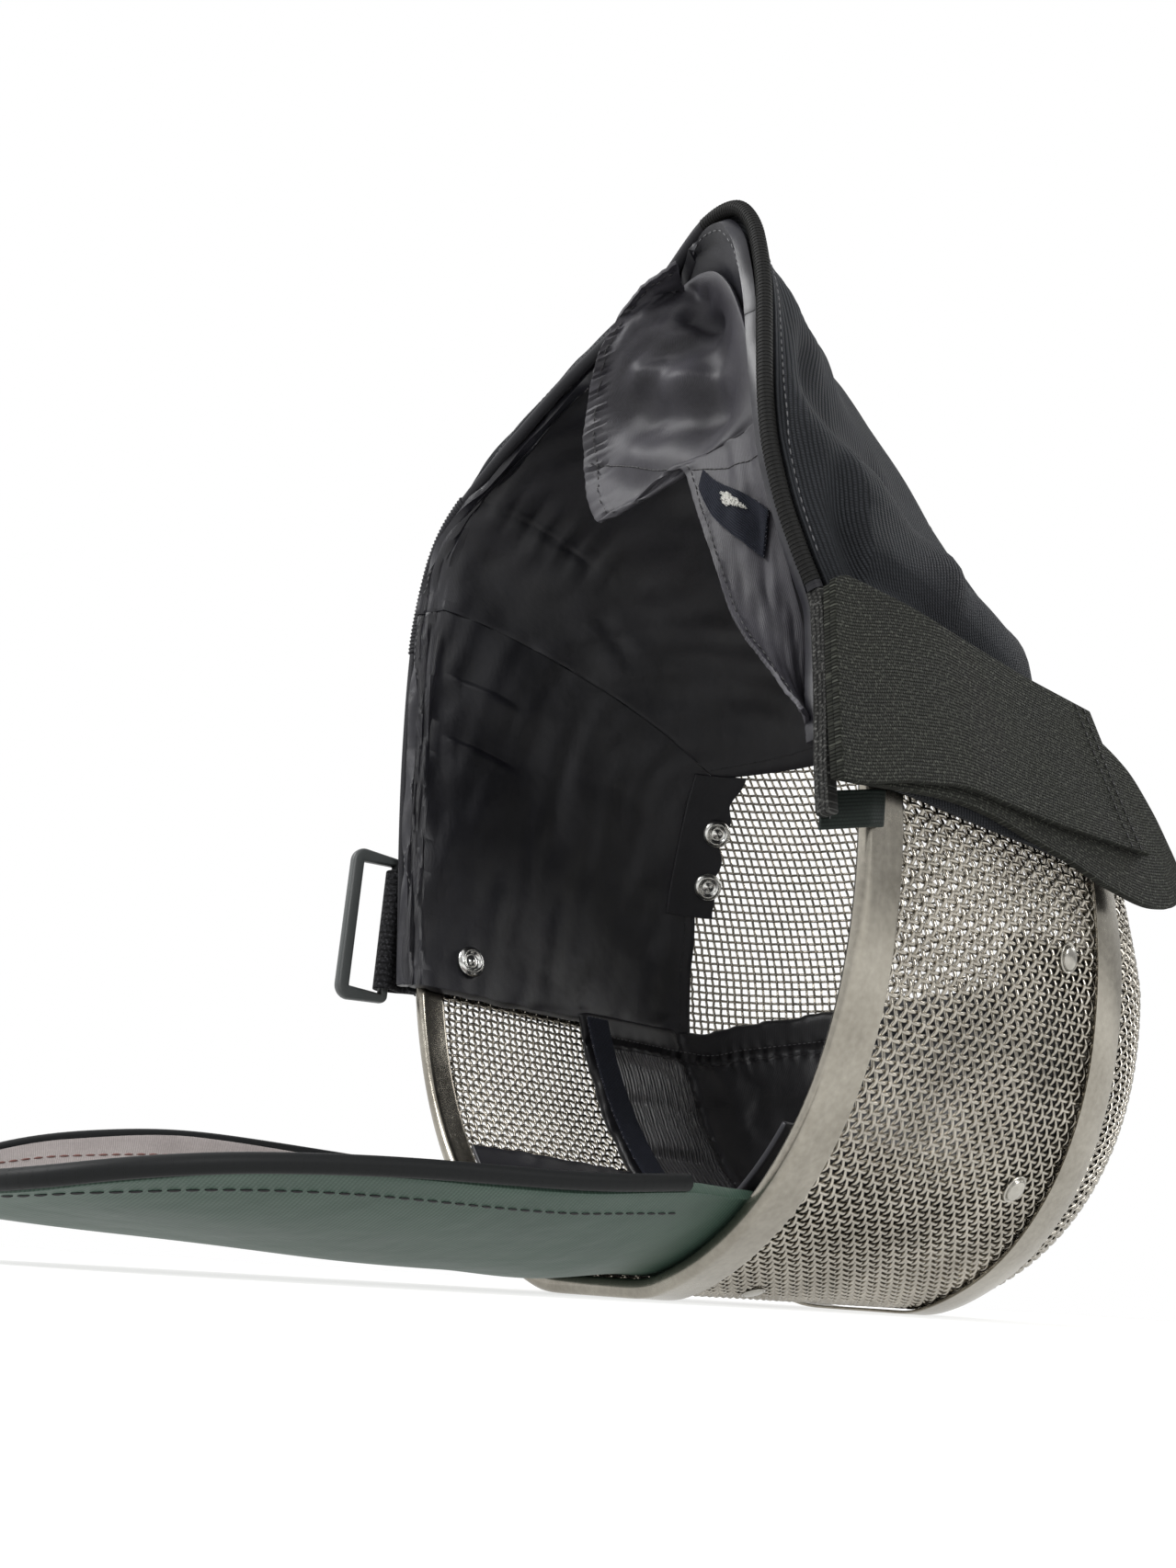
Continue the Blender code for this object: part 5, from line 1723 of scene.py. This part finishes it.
@dataclass
class ChinPad:
    """The padded bib in the front of the jaw, its hook strip and the trim below it."""

    end: float = 0.74
    inset: float = 6.6
    sheet: float = 7.0
    low: float = 16.0
    side_top: float = 94.5
    front_top: float = 109.0
    upright_seam: float = 0.53
    level_seam: float = 0.84
    gathered: tuple[float, float] = (0.535, 0.70)
    trim_turn: float = 41.0

    def middle(self, share: Array, rise: Array, inset: float = 0.0) -> Array:
        """Point of the pad's middle, or of a layer with another inset."""
        far = np.abs(share)
        top = mix(self.front_top - 62 * far * far, self.side_top, ease((far - 0.40) / 0.12))
        height = self.low + (top - self.low) * rise
        out = normal_of(level_arc, height, share, 0.4, 0.004)
        return level_arc(height, share) - out * (inset or self.inset)

    def inwards(self, share: Array, rise: Array) -> Array:
        """Direction of the pad's middle towards the head."""
        return normal_of(self.middle, share, rise, 0.004, 0.01)

    def quilting(self, share: Array, rise: Array) -> Array:
        """Heights of the sewn channels, the gathers and the waves on the inner face."""
        far, (start, end) = np.abs(share), self.gathered
        channels = -1.6 * bell(far - self.upright_seam, 0.007) - 1.5 * bell(rise - self.level_seam, 0.018)
        channels = channels - 0.9 * bell(share, 0.01)
        inside = ease((far - start) / 0.02) * ease((end - far) / 0.02)
        gathers = 0.35 * np.sin(far * 620 + 1.5 * np.sin(rise * 5)) * inside
        gathers = gathers * ease((self.level_seam - rise) / 0.08)
        puckers = 0.45 * np.sin(share * 260) * bell(rise - self.level_seam, 0.045)
        return channels + gathers + puckers + 0.6 * ripple(share * 160, rise * 85, 61, 34.0)

    def pad(self) -> Mesh:
        """The pad as a closed swollen mesh, quilted after its simulation."""
        shares, rises = np.linspace(-self.end, self.end, 220), np.linspace(0, 1, 60)
        net = Net(self.middle, shares, rises)
        share, rise = (a.reshape(-1) for a in np.meshgrid(shares, rises, indexing="ij"))
        spots = to_frame(net.points).reshape(-1, 3)
        tree = KDTree(len(spots))
        for number, spot in enumerate(spots):
            tree.insert(spot, number)
        tree.balance()
        sheet = net.mesh("chin_pad_sheet")

        def nearest(points: Array) -> Array:
            """Numbers of the nearest places of the sheet."""
            return np.array([tree.find(p)[1] for p in points])

        def hold(points: Array) -> Array:
            """How firmly the seams hold each point."""
            at = nearest(points)
            upright = np.maximum(bell(np.abs(share[at]) - self.upright_seam, 0.014), bell(share[at], 0.02))
            level = [bell(rise[at] - seam, 0.03) for seam in (0, self.level_seam, 1)]
            return np.clip(np.maximum.reduce([upright, *level]), 0, 1)

        mesh = swell(sheet, self.sheet - 2.2, hold, 2.6, 1.5)
        points = coordinates(mesh)
        at = nearest(points)
        inwards = self.inwards(share[at], rise[at])
        side = ((points - spots[at]) * inwards).sum(-1) / MM
        height = self.quilting(share[at], rise[at]) * ease((side - 0.2) / 1.8)
        points = points + inwards * height[:, None] * MM
        mesh.vertices.foreach_set("co", points.reshape(-1).astype(np.float32))
        mesh.update()
        centres = np.zeros(len(mesh.polygons) * 3, np.float32)
        mesh.polygons.foreach_get("center", centres)
        at = nearest(centres.reshape(-1, 3))
        far, (start, end) = np.abs(share[at]), self.gathered
        # The gathered faces get the lighter satin with its painted highlight.
        inside = (far > start) & (far < end + 0.005) & (rise[at] < self.level_seam - 0.01)
        mesh.materials.append(Finish.PAD.material)
        mesh.materials.append(Finish.GATHERED.material)
        mesh.polygons.foreach_set("material_index", inside.astype(np.int32))
        return mesh

    def make(self) -> None:
        """The pad, the strip and the trim."""
        obj = place("chin_pad_satin", self.pad(), Finish.PAD, ["chin_pad"], "satin")

        def face(share: Array, rise: Array) -> Array:
            """Point of the pad's inner face."""
            return self.middle(share, rise, self.inset + self.sheet / 2)

        for name, rise, kind, thread in (
            ("chin_pad_stitches_1", 0.865, Thread.FINE, Finish.GREY_THREAD),
            ("chin_pad_stitches_2", 0.815, Thread.HEM, Finish.THREAD),
        ):
            along = np.linspace(-0.69, 0.69, 300)
            stitches(name, face, along, rise, 0.1, kind, thread, "satin", (0.004, 0.01))

        def strip(rise: Array, share: Array) -> Array:
            """Point of the hook strip."""
            return self.middle(share, rise, self.inset + self.sheet / 2 + 1.4)

        rows = np.linspace(0.06, 0.94, 60), np.linspace(-self.end, -0.702, 10)
        panel("hook_strip_tape", strip, *rows, Finish.LOOP, "hook_strip", "loop_tape", 1.2, 0.3)
        base = Net(strip, *rows).mesh("hook_strip_fuzz")
        fuzz("hook_strip_fuzz", base, 2.6e6, 0.42, 9, Finish.FUZZ, "loop_tape")

        def trim(turn: Array, y: Array) -> Array:
            """Point of the trim below the pad."""
            wave = 0.5 * ripple(turn * 1.4, y, 67, 16.0) * ease((y - 8) / 20)
            return SHELL.lifted(y, turn, -7.85 - np.abs(wave))

        turns, depths = np.linspace(-self.trim_turn, self.trim_turn, 80), np.linspace(2, 66, 50)
        obj = panel("chin_trim_cloth", trim, turns, depths, Finish.SATIN, "chin_trim", "satin", 1.5, 0.4)
        base = Net(trim, np.linspace(-40.5, 40.5, 60), np.linspace(64.6, 67.0, 4)).mesh("chin_trim_fray")
        fuzz("chin_trim_fray", base, 6.0e6, 0.6, 4, Finish.FRAYED, "satin")


# ---------------------------------------------------------------- bib


BIB_ROWS = (
    (15, 57, 4.6, 26.0, 29.0), (-20, 57, 4.6, 24.0, 29.0), (-50, 58, 5.4, 21.5, 30.0),
    (-90, 58, 6.8, 20.5, 31.0), (-125, 56, 8.0, 18.5, 27.0), (-148, 48, 9.4, 15.5, 20.0),
    (-160, 36, 10.6, 13.0, 15.0), (-166, 20, 11.4, 12.2, 13.0),
)


@dataclass
class Bib:
    """The padded bib behind the chin, with its bound edge and its stitches."""

    sheet: float = 3.0
    curve: float = 2.4
    turn: float = 31.0
    sewn: float = 0.25

    def __post_init__(self) -> None:
        """Reads the table's columns."""
        self.half, self.low, self.right, self.left = (Smooth(BIB_ROWS, column) for column in (1, 2, 3, 4))

    def base(self, u: Array, v: Array) -> Array:
        """Point of the bib's middle surface, across and along."""
        late = 1 - (np.clip(1 - v, 0, None) / (1 - self.sewn)) ** 1.35
        y = np.where(v < self.sewn, 15 - 27 * v / self.sewn, -12 - 154 * late)
        across = 2 * u - 1
        wing = np.where(across > 0, self.right(y), self.left(y))
        height = self.low(y) + (wing - self.low(y)) * np.abs(across) ** self.curve
        free = np.stack([across * self.half(y), y, height], -1)
        sewn = SHELL.lifted(np.maximum(y, 1), across * self.turn, -4.7)
        sewn[..., 1] = y
        return mix(sewn, free, ease((-3 - y) / 22))

    def wrinkles(self, u: Array, v: Array) -> Array:
        """Soft waves of the skin."""
        return 0.35 * ripple(u * 118, v * 180, 71, 52.0) * ease((v - 0.3) / 0.1)

    def make(self) -> None:
        """The bib's body, binding and stitches."""
        surface = raised(self.base, self.wrinkles, 0.005, 0.005)
        net = Net(surface, np.linspace(0, 1, 90), np.linspace(0, 1, 110))
        obj = place("bib_skin_padded", net.mesh("bib_skin_padded"), Finish.BIB, ["bib"], "bib_skin")
        obj.data.materials.append(Finish.BIB_INNER.material)
        thicken(obj, self.sheet, 0.8)
        obj.modifiers["Wall"].material_offset = 1
        u = np.concatenate([np.zeros(90), np.linspace(0.02, 0.98, 40), np.ones(90)])
        v = np.concatenate([np.linspace(0.27, 1, 90), np.ones(40), np.linspace(1, 0.27, 90)])
        edge = self.base(u, v)
        tangent = unit(np.gradient(edge, axis=0))
        inner = self.base(u + (0.5 - u) * 0.06, np.minimum(v, 0.97)) - edge
        away = unit((inner * tangent).sum(-1, keepdims=True) * tangent - inner)
        line = edge + away * 1.7
        even = np.ones(13) / 13
        line = np.stack([np.convolve(np.pad(line[:, k], 6, "edge"), even, "valid") for k in range(3)], -1)
        cord("bib_edge_binding", line, away, (1.9, 2.5, 0.02), Finish.BINDING, ["bib_binding"])
        u = np.concatenate([np.full(120, 0.05), np.linspace(0.08, 0.92, 60), np.full(120, 0.95)])
        v = np.concatenate([np.linspace(0.28, 0.95, 120), np.full(60, 0.965), np.linspace(0.95, 0.28, 120)])
        for name, lift, thread in (
            ("bib_inner_stitches", -1.6, Finish.RUST_THREAD), ("bib_face_stitches", 1.6, Finish.THREAD),
        ):
            stitches(name, surface, u, v, lift, Thread.BOLD, thread, "bib_skin", (0.005, 0.005))


# ---------------------------------------------------------------- strap and buckle


STRAP_OUTER = (
    (-27, 106, 156.5), (-21, 107, 159.5), (0, 113, 160), (25, 117.5, 158.5), (51, 117.5, 157), (100, 119, 155),
)
STRAP_INNER = (
    (-27, 107, 155.5), (-21, 108, 158.5), (25, 114, 156.5), (60, 110, 154), (80, 106, 150.5),
    (95, 104.5, 144.5), (106, 106, 134), (112, 109, 125), (116, 114, 118),
)


@dataclass
class Strap:
    """The wide elastic strap folded forward on the right, and its keeper."""

    sheet: float = 1.8
    inner: float = 5.9
    hold: float = 46.0
    gap: float = 0.4
    play: float = 0.3
    end_top: float = 77.0
    end_slant: float = 0.58
    end_high: float = 155.0
    end_low: float = 119.0

    def side(self, y: Array, z: Array, offset: float) -> Array:
        """How far out a layer lies."""
        base = SHELL.wall_x(np.clip(y, 0, self.hold), np.full(np.shape(y), 135.0)) + offset
        return base + 0.04 * np.maximum(y - self.hold, 0) + 0.0006 * (z - 135) * (z - 150)

    def layer(self, edges: Sequence[Sequence[float]], y: Array, v: Array, offset: float) -> Array:
        """Point between a layer's lower and upper edge at a depth."""
        low, high = Smooth(edges, 1)(y), Smooth(edges, 2)(y)
        z = low + (high - low) * v
        return np.stack([self.side(y, z, offset), y, z], -1)

    def lower(self, u: Array, v: Array) -> Array:
        """Point of the lower layer."""
        y = -26 + 142 * (1 - np.clip(1 - u, 0, None) ** 1.3)
        return self.layer(STRAP_INNER, y, v, self.inner + self.gap)

    def upper(self, u: Array, v: Array) -> Array:
        """Point of the upper layer, whose end is cut at a slant."""
        height = self.end_low + (self.end_high - self.end_low) * v
        end = self.end_top + self.end_slant * (self.end_high - height)
        y = -26.5 + (end + 26.5) * u
        return self.layer(STRAP_OUTER, y, v, self.inner + self.sheet + self.play + self.gap)

    def make(self) -> None:
        """Both layers, their stitches and the keeper."""
        for name, node, surface, flat in (
            ("strap_lower_elastic", "strap_lower", self.lower, (0.05, 0.145)),
            ("strap_upper_elastic", "strap_upper", self.upper, (0.0445, 0.115)),
        ):
            rows = np.linspace(0, 1, 120), np.linspace(0, 1, 30)
            obj = panel(name, surface, *rows, Finish.ELASTIC, node, "elastic", self.sheet, 0.4)
        for number, u in enumerate((0.965, 0.93), 1):
            name, v = f"strap_end_stitches_{number}", np.linspace(0.03, 0.97, 60)
            stitches(name, self.upper, u, v, 1.0, Thread.HEM, Finish.THREAD, "elastic")

        def keeper(y: Array, z: Array) -> Array:
            """Point of the keeper tab."""
            x = SHELL.wall_x(np.zeros_like(y), z) + 3.5 - 0.25 * np.maximum(-8 - y, 0)
            return np.stack([x, y, z + 0.25 * (y + 4)], -1)

        rows = np.linspace(-21, -3, 24), np.linspace(103, 112, 16)
        panel("keeper_tab_skin", keeper, *rows, Finish.KEEPER, "keeper_tab", "bib_skin", 1.2, 0.3)


@dataclass
class Buckle:
    """The rectangular loop on the left, turning in its webbing sleeve."""

    axis_x: float = -110.6
    axis_y: float = -11.0
    low: float = 87.0
    high: float = 141.0
    depth: float = 16.0
    bar: float = 1.6
    side: float = 2.4
    corner: float = 2.6
    radius: float = 3.0
    sleeve_sheet: float = 1.2
    sleeve_end: float = 16.0

    def loop(self) -> None:
        """The moulded frame, swept round its outline with a rounded section."""
        middle, reach = (self.low + self.high) / 2, (self.high - self.low) / 2 - self.side
        corners = []
        for outer, side, start in ((True, 1, 0), (False, 1, 90), (False, -1, 180), (True, -1, 270)):
            radius = self.corner if outer else self.corner * 0.35
            back, up = self.depth - radius if outer else radius, side * (reach - radius)
            for step in range(9):
                angle = math.radians(start + 11.25 * step)
                corners.append((back + radius * math.cos(angle), up + radius * math.sin(angle)))
        line = np.array(corners)
        section = 24

        def squared(part: Array) -> Array:
            """Rounded square from a circle's sine or cosine."""
            return np.sign(part) * np.abs(part) ** 0.55

        def point(number: Array, turn: Array) -> Array:
            """Point of the frame by place on its outline and turn of its section."""
            number = number.astype(int)
            at = line[number % len(line)]
            tangent = unit(line[(number + 1) % len(line)] - line[(number - 1) % len(line)])
            angle = turn / section * 2 * math.pi
            share = ease((at[..., 0] - 1.0) / 2.5)
            wide = self.bar * (1 - share) + self.side * share
            out, off = squared(np.cos(angle)), squared(np.sin(angle))
            back = at[..., 0] + tangent[..., 1] * wide * out
            up = at[..., 1] + -tangent[..., 0] * wide * out
            return np.stack([self.axis_x - self.bar * off, self.axis_y - back, middle + up], -1)

        net = Net(point, np.arange(len(line) + 1), np.arange(section + 1), closed=True)
        net.points[:, -1] = net.points[:, 0]
        mesh = net.mesh("buckle_loop")
        close_tube(mesh)
        place("buckle_loop", mesh, Finish.PLASTIC, ["buckle_frame"], "dark_plastic", BUCKLE)

    def sleeve(self) -> None:
        """The webbing folded round the loop's bar."""
        low, high = self.low + 2 * self.side + 0.8, self.high - 2 * self.side - 0.8
        half_gap = (self.sleeve_sheet + 0.3) / 2
        steps, over = 8, 24.0

        def on_bar(angle: Array) -> Array:
            """Point of the webbing round the bar, seen from above."""
            turned = np.radians(angle)
            x, y = self.axis_x + self.radius * np.cos(turned), self.axis_y - self.radius * np.sin(turned)
            return np.stack([x, y], -1)

        def point(k: Array, z: Array) -> Array:
            """Point of the sleeve, which is a tail where k is below zero or past the steps."""
            tail = np.where(k < 0, -k, k - steps)
            share = np.clip((tail - 1) / 2, 0, 1)
            seat = -(SHELL.wall_x(np.zeros_like(z), z) + 4.7 + 0.3 + self.sleeve_sheet / 2 + half_gap)
            x = self.axis_x + (seat - self.axis_x) * share**0.6 + np.where(k < 0, half_gap, -half_gap)
            y = self.axis_y + 2.2 * self.radius
            y = y + (self.sleeve_end - y) * share
            start = on_bar(np.where(k < 0, -over, 180 + over))
            on_tail = start + (np.stack([x, y], -1) - start) * np.clip(tail, 0, 1)[..., None]
            inside = ((k >= 0) & (k <= steps))[..., None]
            xy = np.where(inside, on_bar(-over + (180 + 2 * over) * np.clip(k / steps, 0, 1)), on_tail)
            return np.concatenate([xy, z[..., None]], -1)

        tails = np.linspace(-3, -0.2, 14), np.linspace(steps + 0.2, steps + 3, 14)
        columns = np.concatenate([tails[0], np.linspace(0, steps, 33), tails[1]])
        obj = panel(
            "buckle_sleeve_webbing", point, columns, np.linspace(low, high, 30), Finish.WEBBING,
            "buckle_sleeve", "elastic", self.sleeve_sheet, 0.3,
        )
        rows = np.linspace(low + 0.5, high - 0.5, 60)
        for number, k in enumerate((0.6, 1.7, 2.8, 3.9, 5.0, 6.1, 7.2), 1):
            name, thread = f"sleeve_dots_{number}", Finish.GREY_THREAD
            stitches(name, point, k, rows, 0.62, Thread.DOT, thread, "elastic", (0.1, 0.4))


def close_tube(mesh: Mesh) -> None:
    """Merges the doubled line of a swept tube and points its faces outwards."""
    bm = bmesh.new()
    bm.from_mesh(mesh)
    bmesh.ops.remove_doubles(bm, verts=bm.verts, dist=1e-6)
    bmesh.ops.recalc_face_normals(bm, faces=bm.faces)
    bm.to_mesh(mesh)
    bm.free()


@dataclass
class Snaps:
    """Ring snaps inside, and the patch that two of them are set in."""

    patch_offset: float = -8.4

    def patch(self, share: Array, z: Array) -> Array:
        """Point of the patch, whose front edge is torn."""
        recede = 0.09 * (z - 140)
        ragged = share + ease((share - 0.4) / 0.6) * 0.13 * ripple(z, z * 0, 83, 17.0)
        y = 99.8 - 1.1 * recede + (17.2 - 0.2 * recede) * ragged
        return SHELL.lifted(y, 360 - SHELL.turn_at(z, y), self.patch_offset)

    def make(self) -> None:
        """The patch and the three snaps."""
        rows = np.linspace(0, 1, 24), np.linspace(141, 194, 60)
        panel("snap_patch_cloth", self.patch, *rows, Finish.SATIN, "snap_patch", "satin", 1.0, 0.2)
        profile = [
            (0.0, 1.35), (0.8, 1.3), (1.25, 0.95), (2.2, 0.75), (2.9, 0.8), (3.3, 1.5), (3.8, 1.8),
            (4.3, 1.7), (4.9, 1.15), (5.4, 0.75), (5.5, 0.3), (5.4, 0.0), (0.0, 0.0),
        ]
        points, faces = revolve(profile, 48)
        seats = (
            ("snap_upper", 109.5, 173.0, self.patch_offset - 1.3),
            ("snap_lower", 112.5, 153.5, self.patch_offset - 1.3),
            ("snap_cheek", 12.0, 103.0, -7.4),
        )
        for name, y, height, offset in seats:
            depth = np.array(y)
            turn = np.array(360 - float(SHELL.turn_at(height, y)))
            seat = SHELL.lifted(depth, turn, offset)
            inwards = Vector(-SHELL.normal(depth, turn))
            matrix = np.array(inwards.to_track_quat("Z", "Y").to_matrix())
            mesh = bpy.data.meshes.new(f"{name}_ring")
            mesh.from_pydata(to_frame(points @ matrix.T + seat).tolist(), [], faces)
            mesh.shade_smooth()
            place(f"{name}_ring", mesh, Finish.SNAP, [name], "snap_metal")


# ---------------------------------------------------------------- studio


@dataclass
class Studio:
    """Pale floor, soft lights and the camera."""

    place: tuple[float, float, float] = (0.2778, -0.2297, 0.003)
    lens: float = 28.85
    shift: tuple[float, float] = (0.0153, -0.0286)

    def floor(self) -> None:
        """A plain pale floor."""
        mesh = bpy.data.meshes.new("floor")
        mesh.from_pydata([(-6, -6, 0), (6, -6, 0), (6, 6, 0), (-6, 6, 0)], [], [(0, 1, 2, 3)])
        material = MouldedFinish("pale_floor", (0.22, 0.22, 0.217), (0.8, 0.95), 0.0).make()
        shader = material.node_tree.nodes["Principled BSDF"]
        shader.inputs["Emission Color"].default_value = (1, 1, 0.99, 1)
        shader.inputs["Emission Strength"].default_value = 0.74
        mesh.materials.append(material)
        floor = bpy.data.objects.new("floor", mesh)
        bpy.context.scene.collection.objects.link(floor)

    def lights(self) -> None:
        """Large soft lights and a pale sky."""
        world = bpy.data.worlds.new("studio")
        world.use_nodes = True
        tree = Tree(world.node_tree)
        for node in list(world.node_tree.nodes):
            world.node_tree.nodes.remove(node)
        way = tree.add("ShaderNodeTexCoord").outputs["Generated"]
        cut = tree.add("ShaderNodeSeparateXYZ", {0: way})
        left, up = tree.math("MULTIPLY", cut.outputs[0], -0.5), tree.math("MULTIPLY", cut.outputs[2], 0.5)
        side = tree.math("ADD", left, up)
        level = tree.span(side, 0.22, 1.15, -0.7, 0.8)
        soft = tree.add("ShaderNodeBackground", {"Color": (1, 1, 1, 1), "Strength": level})
        white = tree.add("ShaderNodeBackground", {"Color": (1, 1, 1, 1), "Strength": 1.0})
        seen = tree.add("ShaderNodeLightPath").outputs["Is Camera Ray"]
        both = tree.add("ShaderNodeMixShader", {0: seen, 1: soft.outputs[0], 2: white.outputs[0]})
        tree.add("ShaderNodeOutputWorld", {"Surface": both.outputs[0]})
        bpy.context.scene.world = world
        bpy.context.scene.view_settings.view_transform = "Standard"
        for name, where, size, power in (
            ("key", (-0.25, -1.0, 1.0), 0.6, 16.0),
            ("right", (1.2, -0.3, 0.7), 0.5, 9.0),
            ("back", (0.5, 1.1, 0.9), 0.7, 9.0),
        ):
            light = bpy.data.lights.new(name, "AREA")
            light.size, light.energy = size, power
            lamp = bpy.data.objects.new(name, light)
            lamp.location = where
            aim = Vector((0, 0.05, 0.14)) - Vector(where)
            lamp.rotation_euler = aim.to_track_quat("-Z", "Y").to_euler()
            bpy.context.scene.collection.objects.link(lamp)

    def camera(self) -> None:
        """The camera at the photograph's angle."""
        camera = bpy.data.cameras.new("camera")
        camera.sensor_fit = "VERTICAL"
        camera.sensor_height = 36
        camera.lens = self.lens
        camera.shift_x, camera.shift_y = self.shift
        camera.clip_start = 0.01
        obj = bpy.data.objects.new("camera", camera)
        right, up, back = (0.610, 0.790, 0.058), (0.281, -0.284, 0.917), (0.741, -0.543, -0.396)
        turned = Matrix((right, up, back)).transposed().to_4x4()
        obj.matrix_world = Matrix.Translation(self.place) @ turned
        bpy.context.scene.collection.objects.link(obj)
        bpy.context.scene.camera = obj


def main() -> None:
    """Builds every piece in its place."""
    logging.basicConfig(level=logging.INFO)
    wires = WireMesh()
    wires.side()
    wires.front()
    bands = SteelBands()
    bands.rim()
    bands.seams()
    bands.heads()
    cover = CrownCover()
    cover.cover()
    cover.piping()
    cover.tape()
    Linings().make()
    BackFlap().make()
    Bib().make()
    ChinPad().make()
    Strap().make()
    buckle = Buckle()
    buckle.loop()
    buckle.sleeve()
    Snaps().make()
    studio = Studio()
    studio.floor()
    studio.lights()
    studio.camera()


if __name__ == "__main__":
    main()
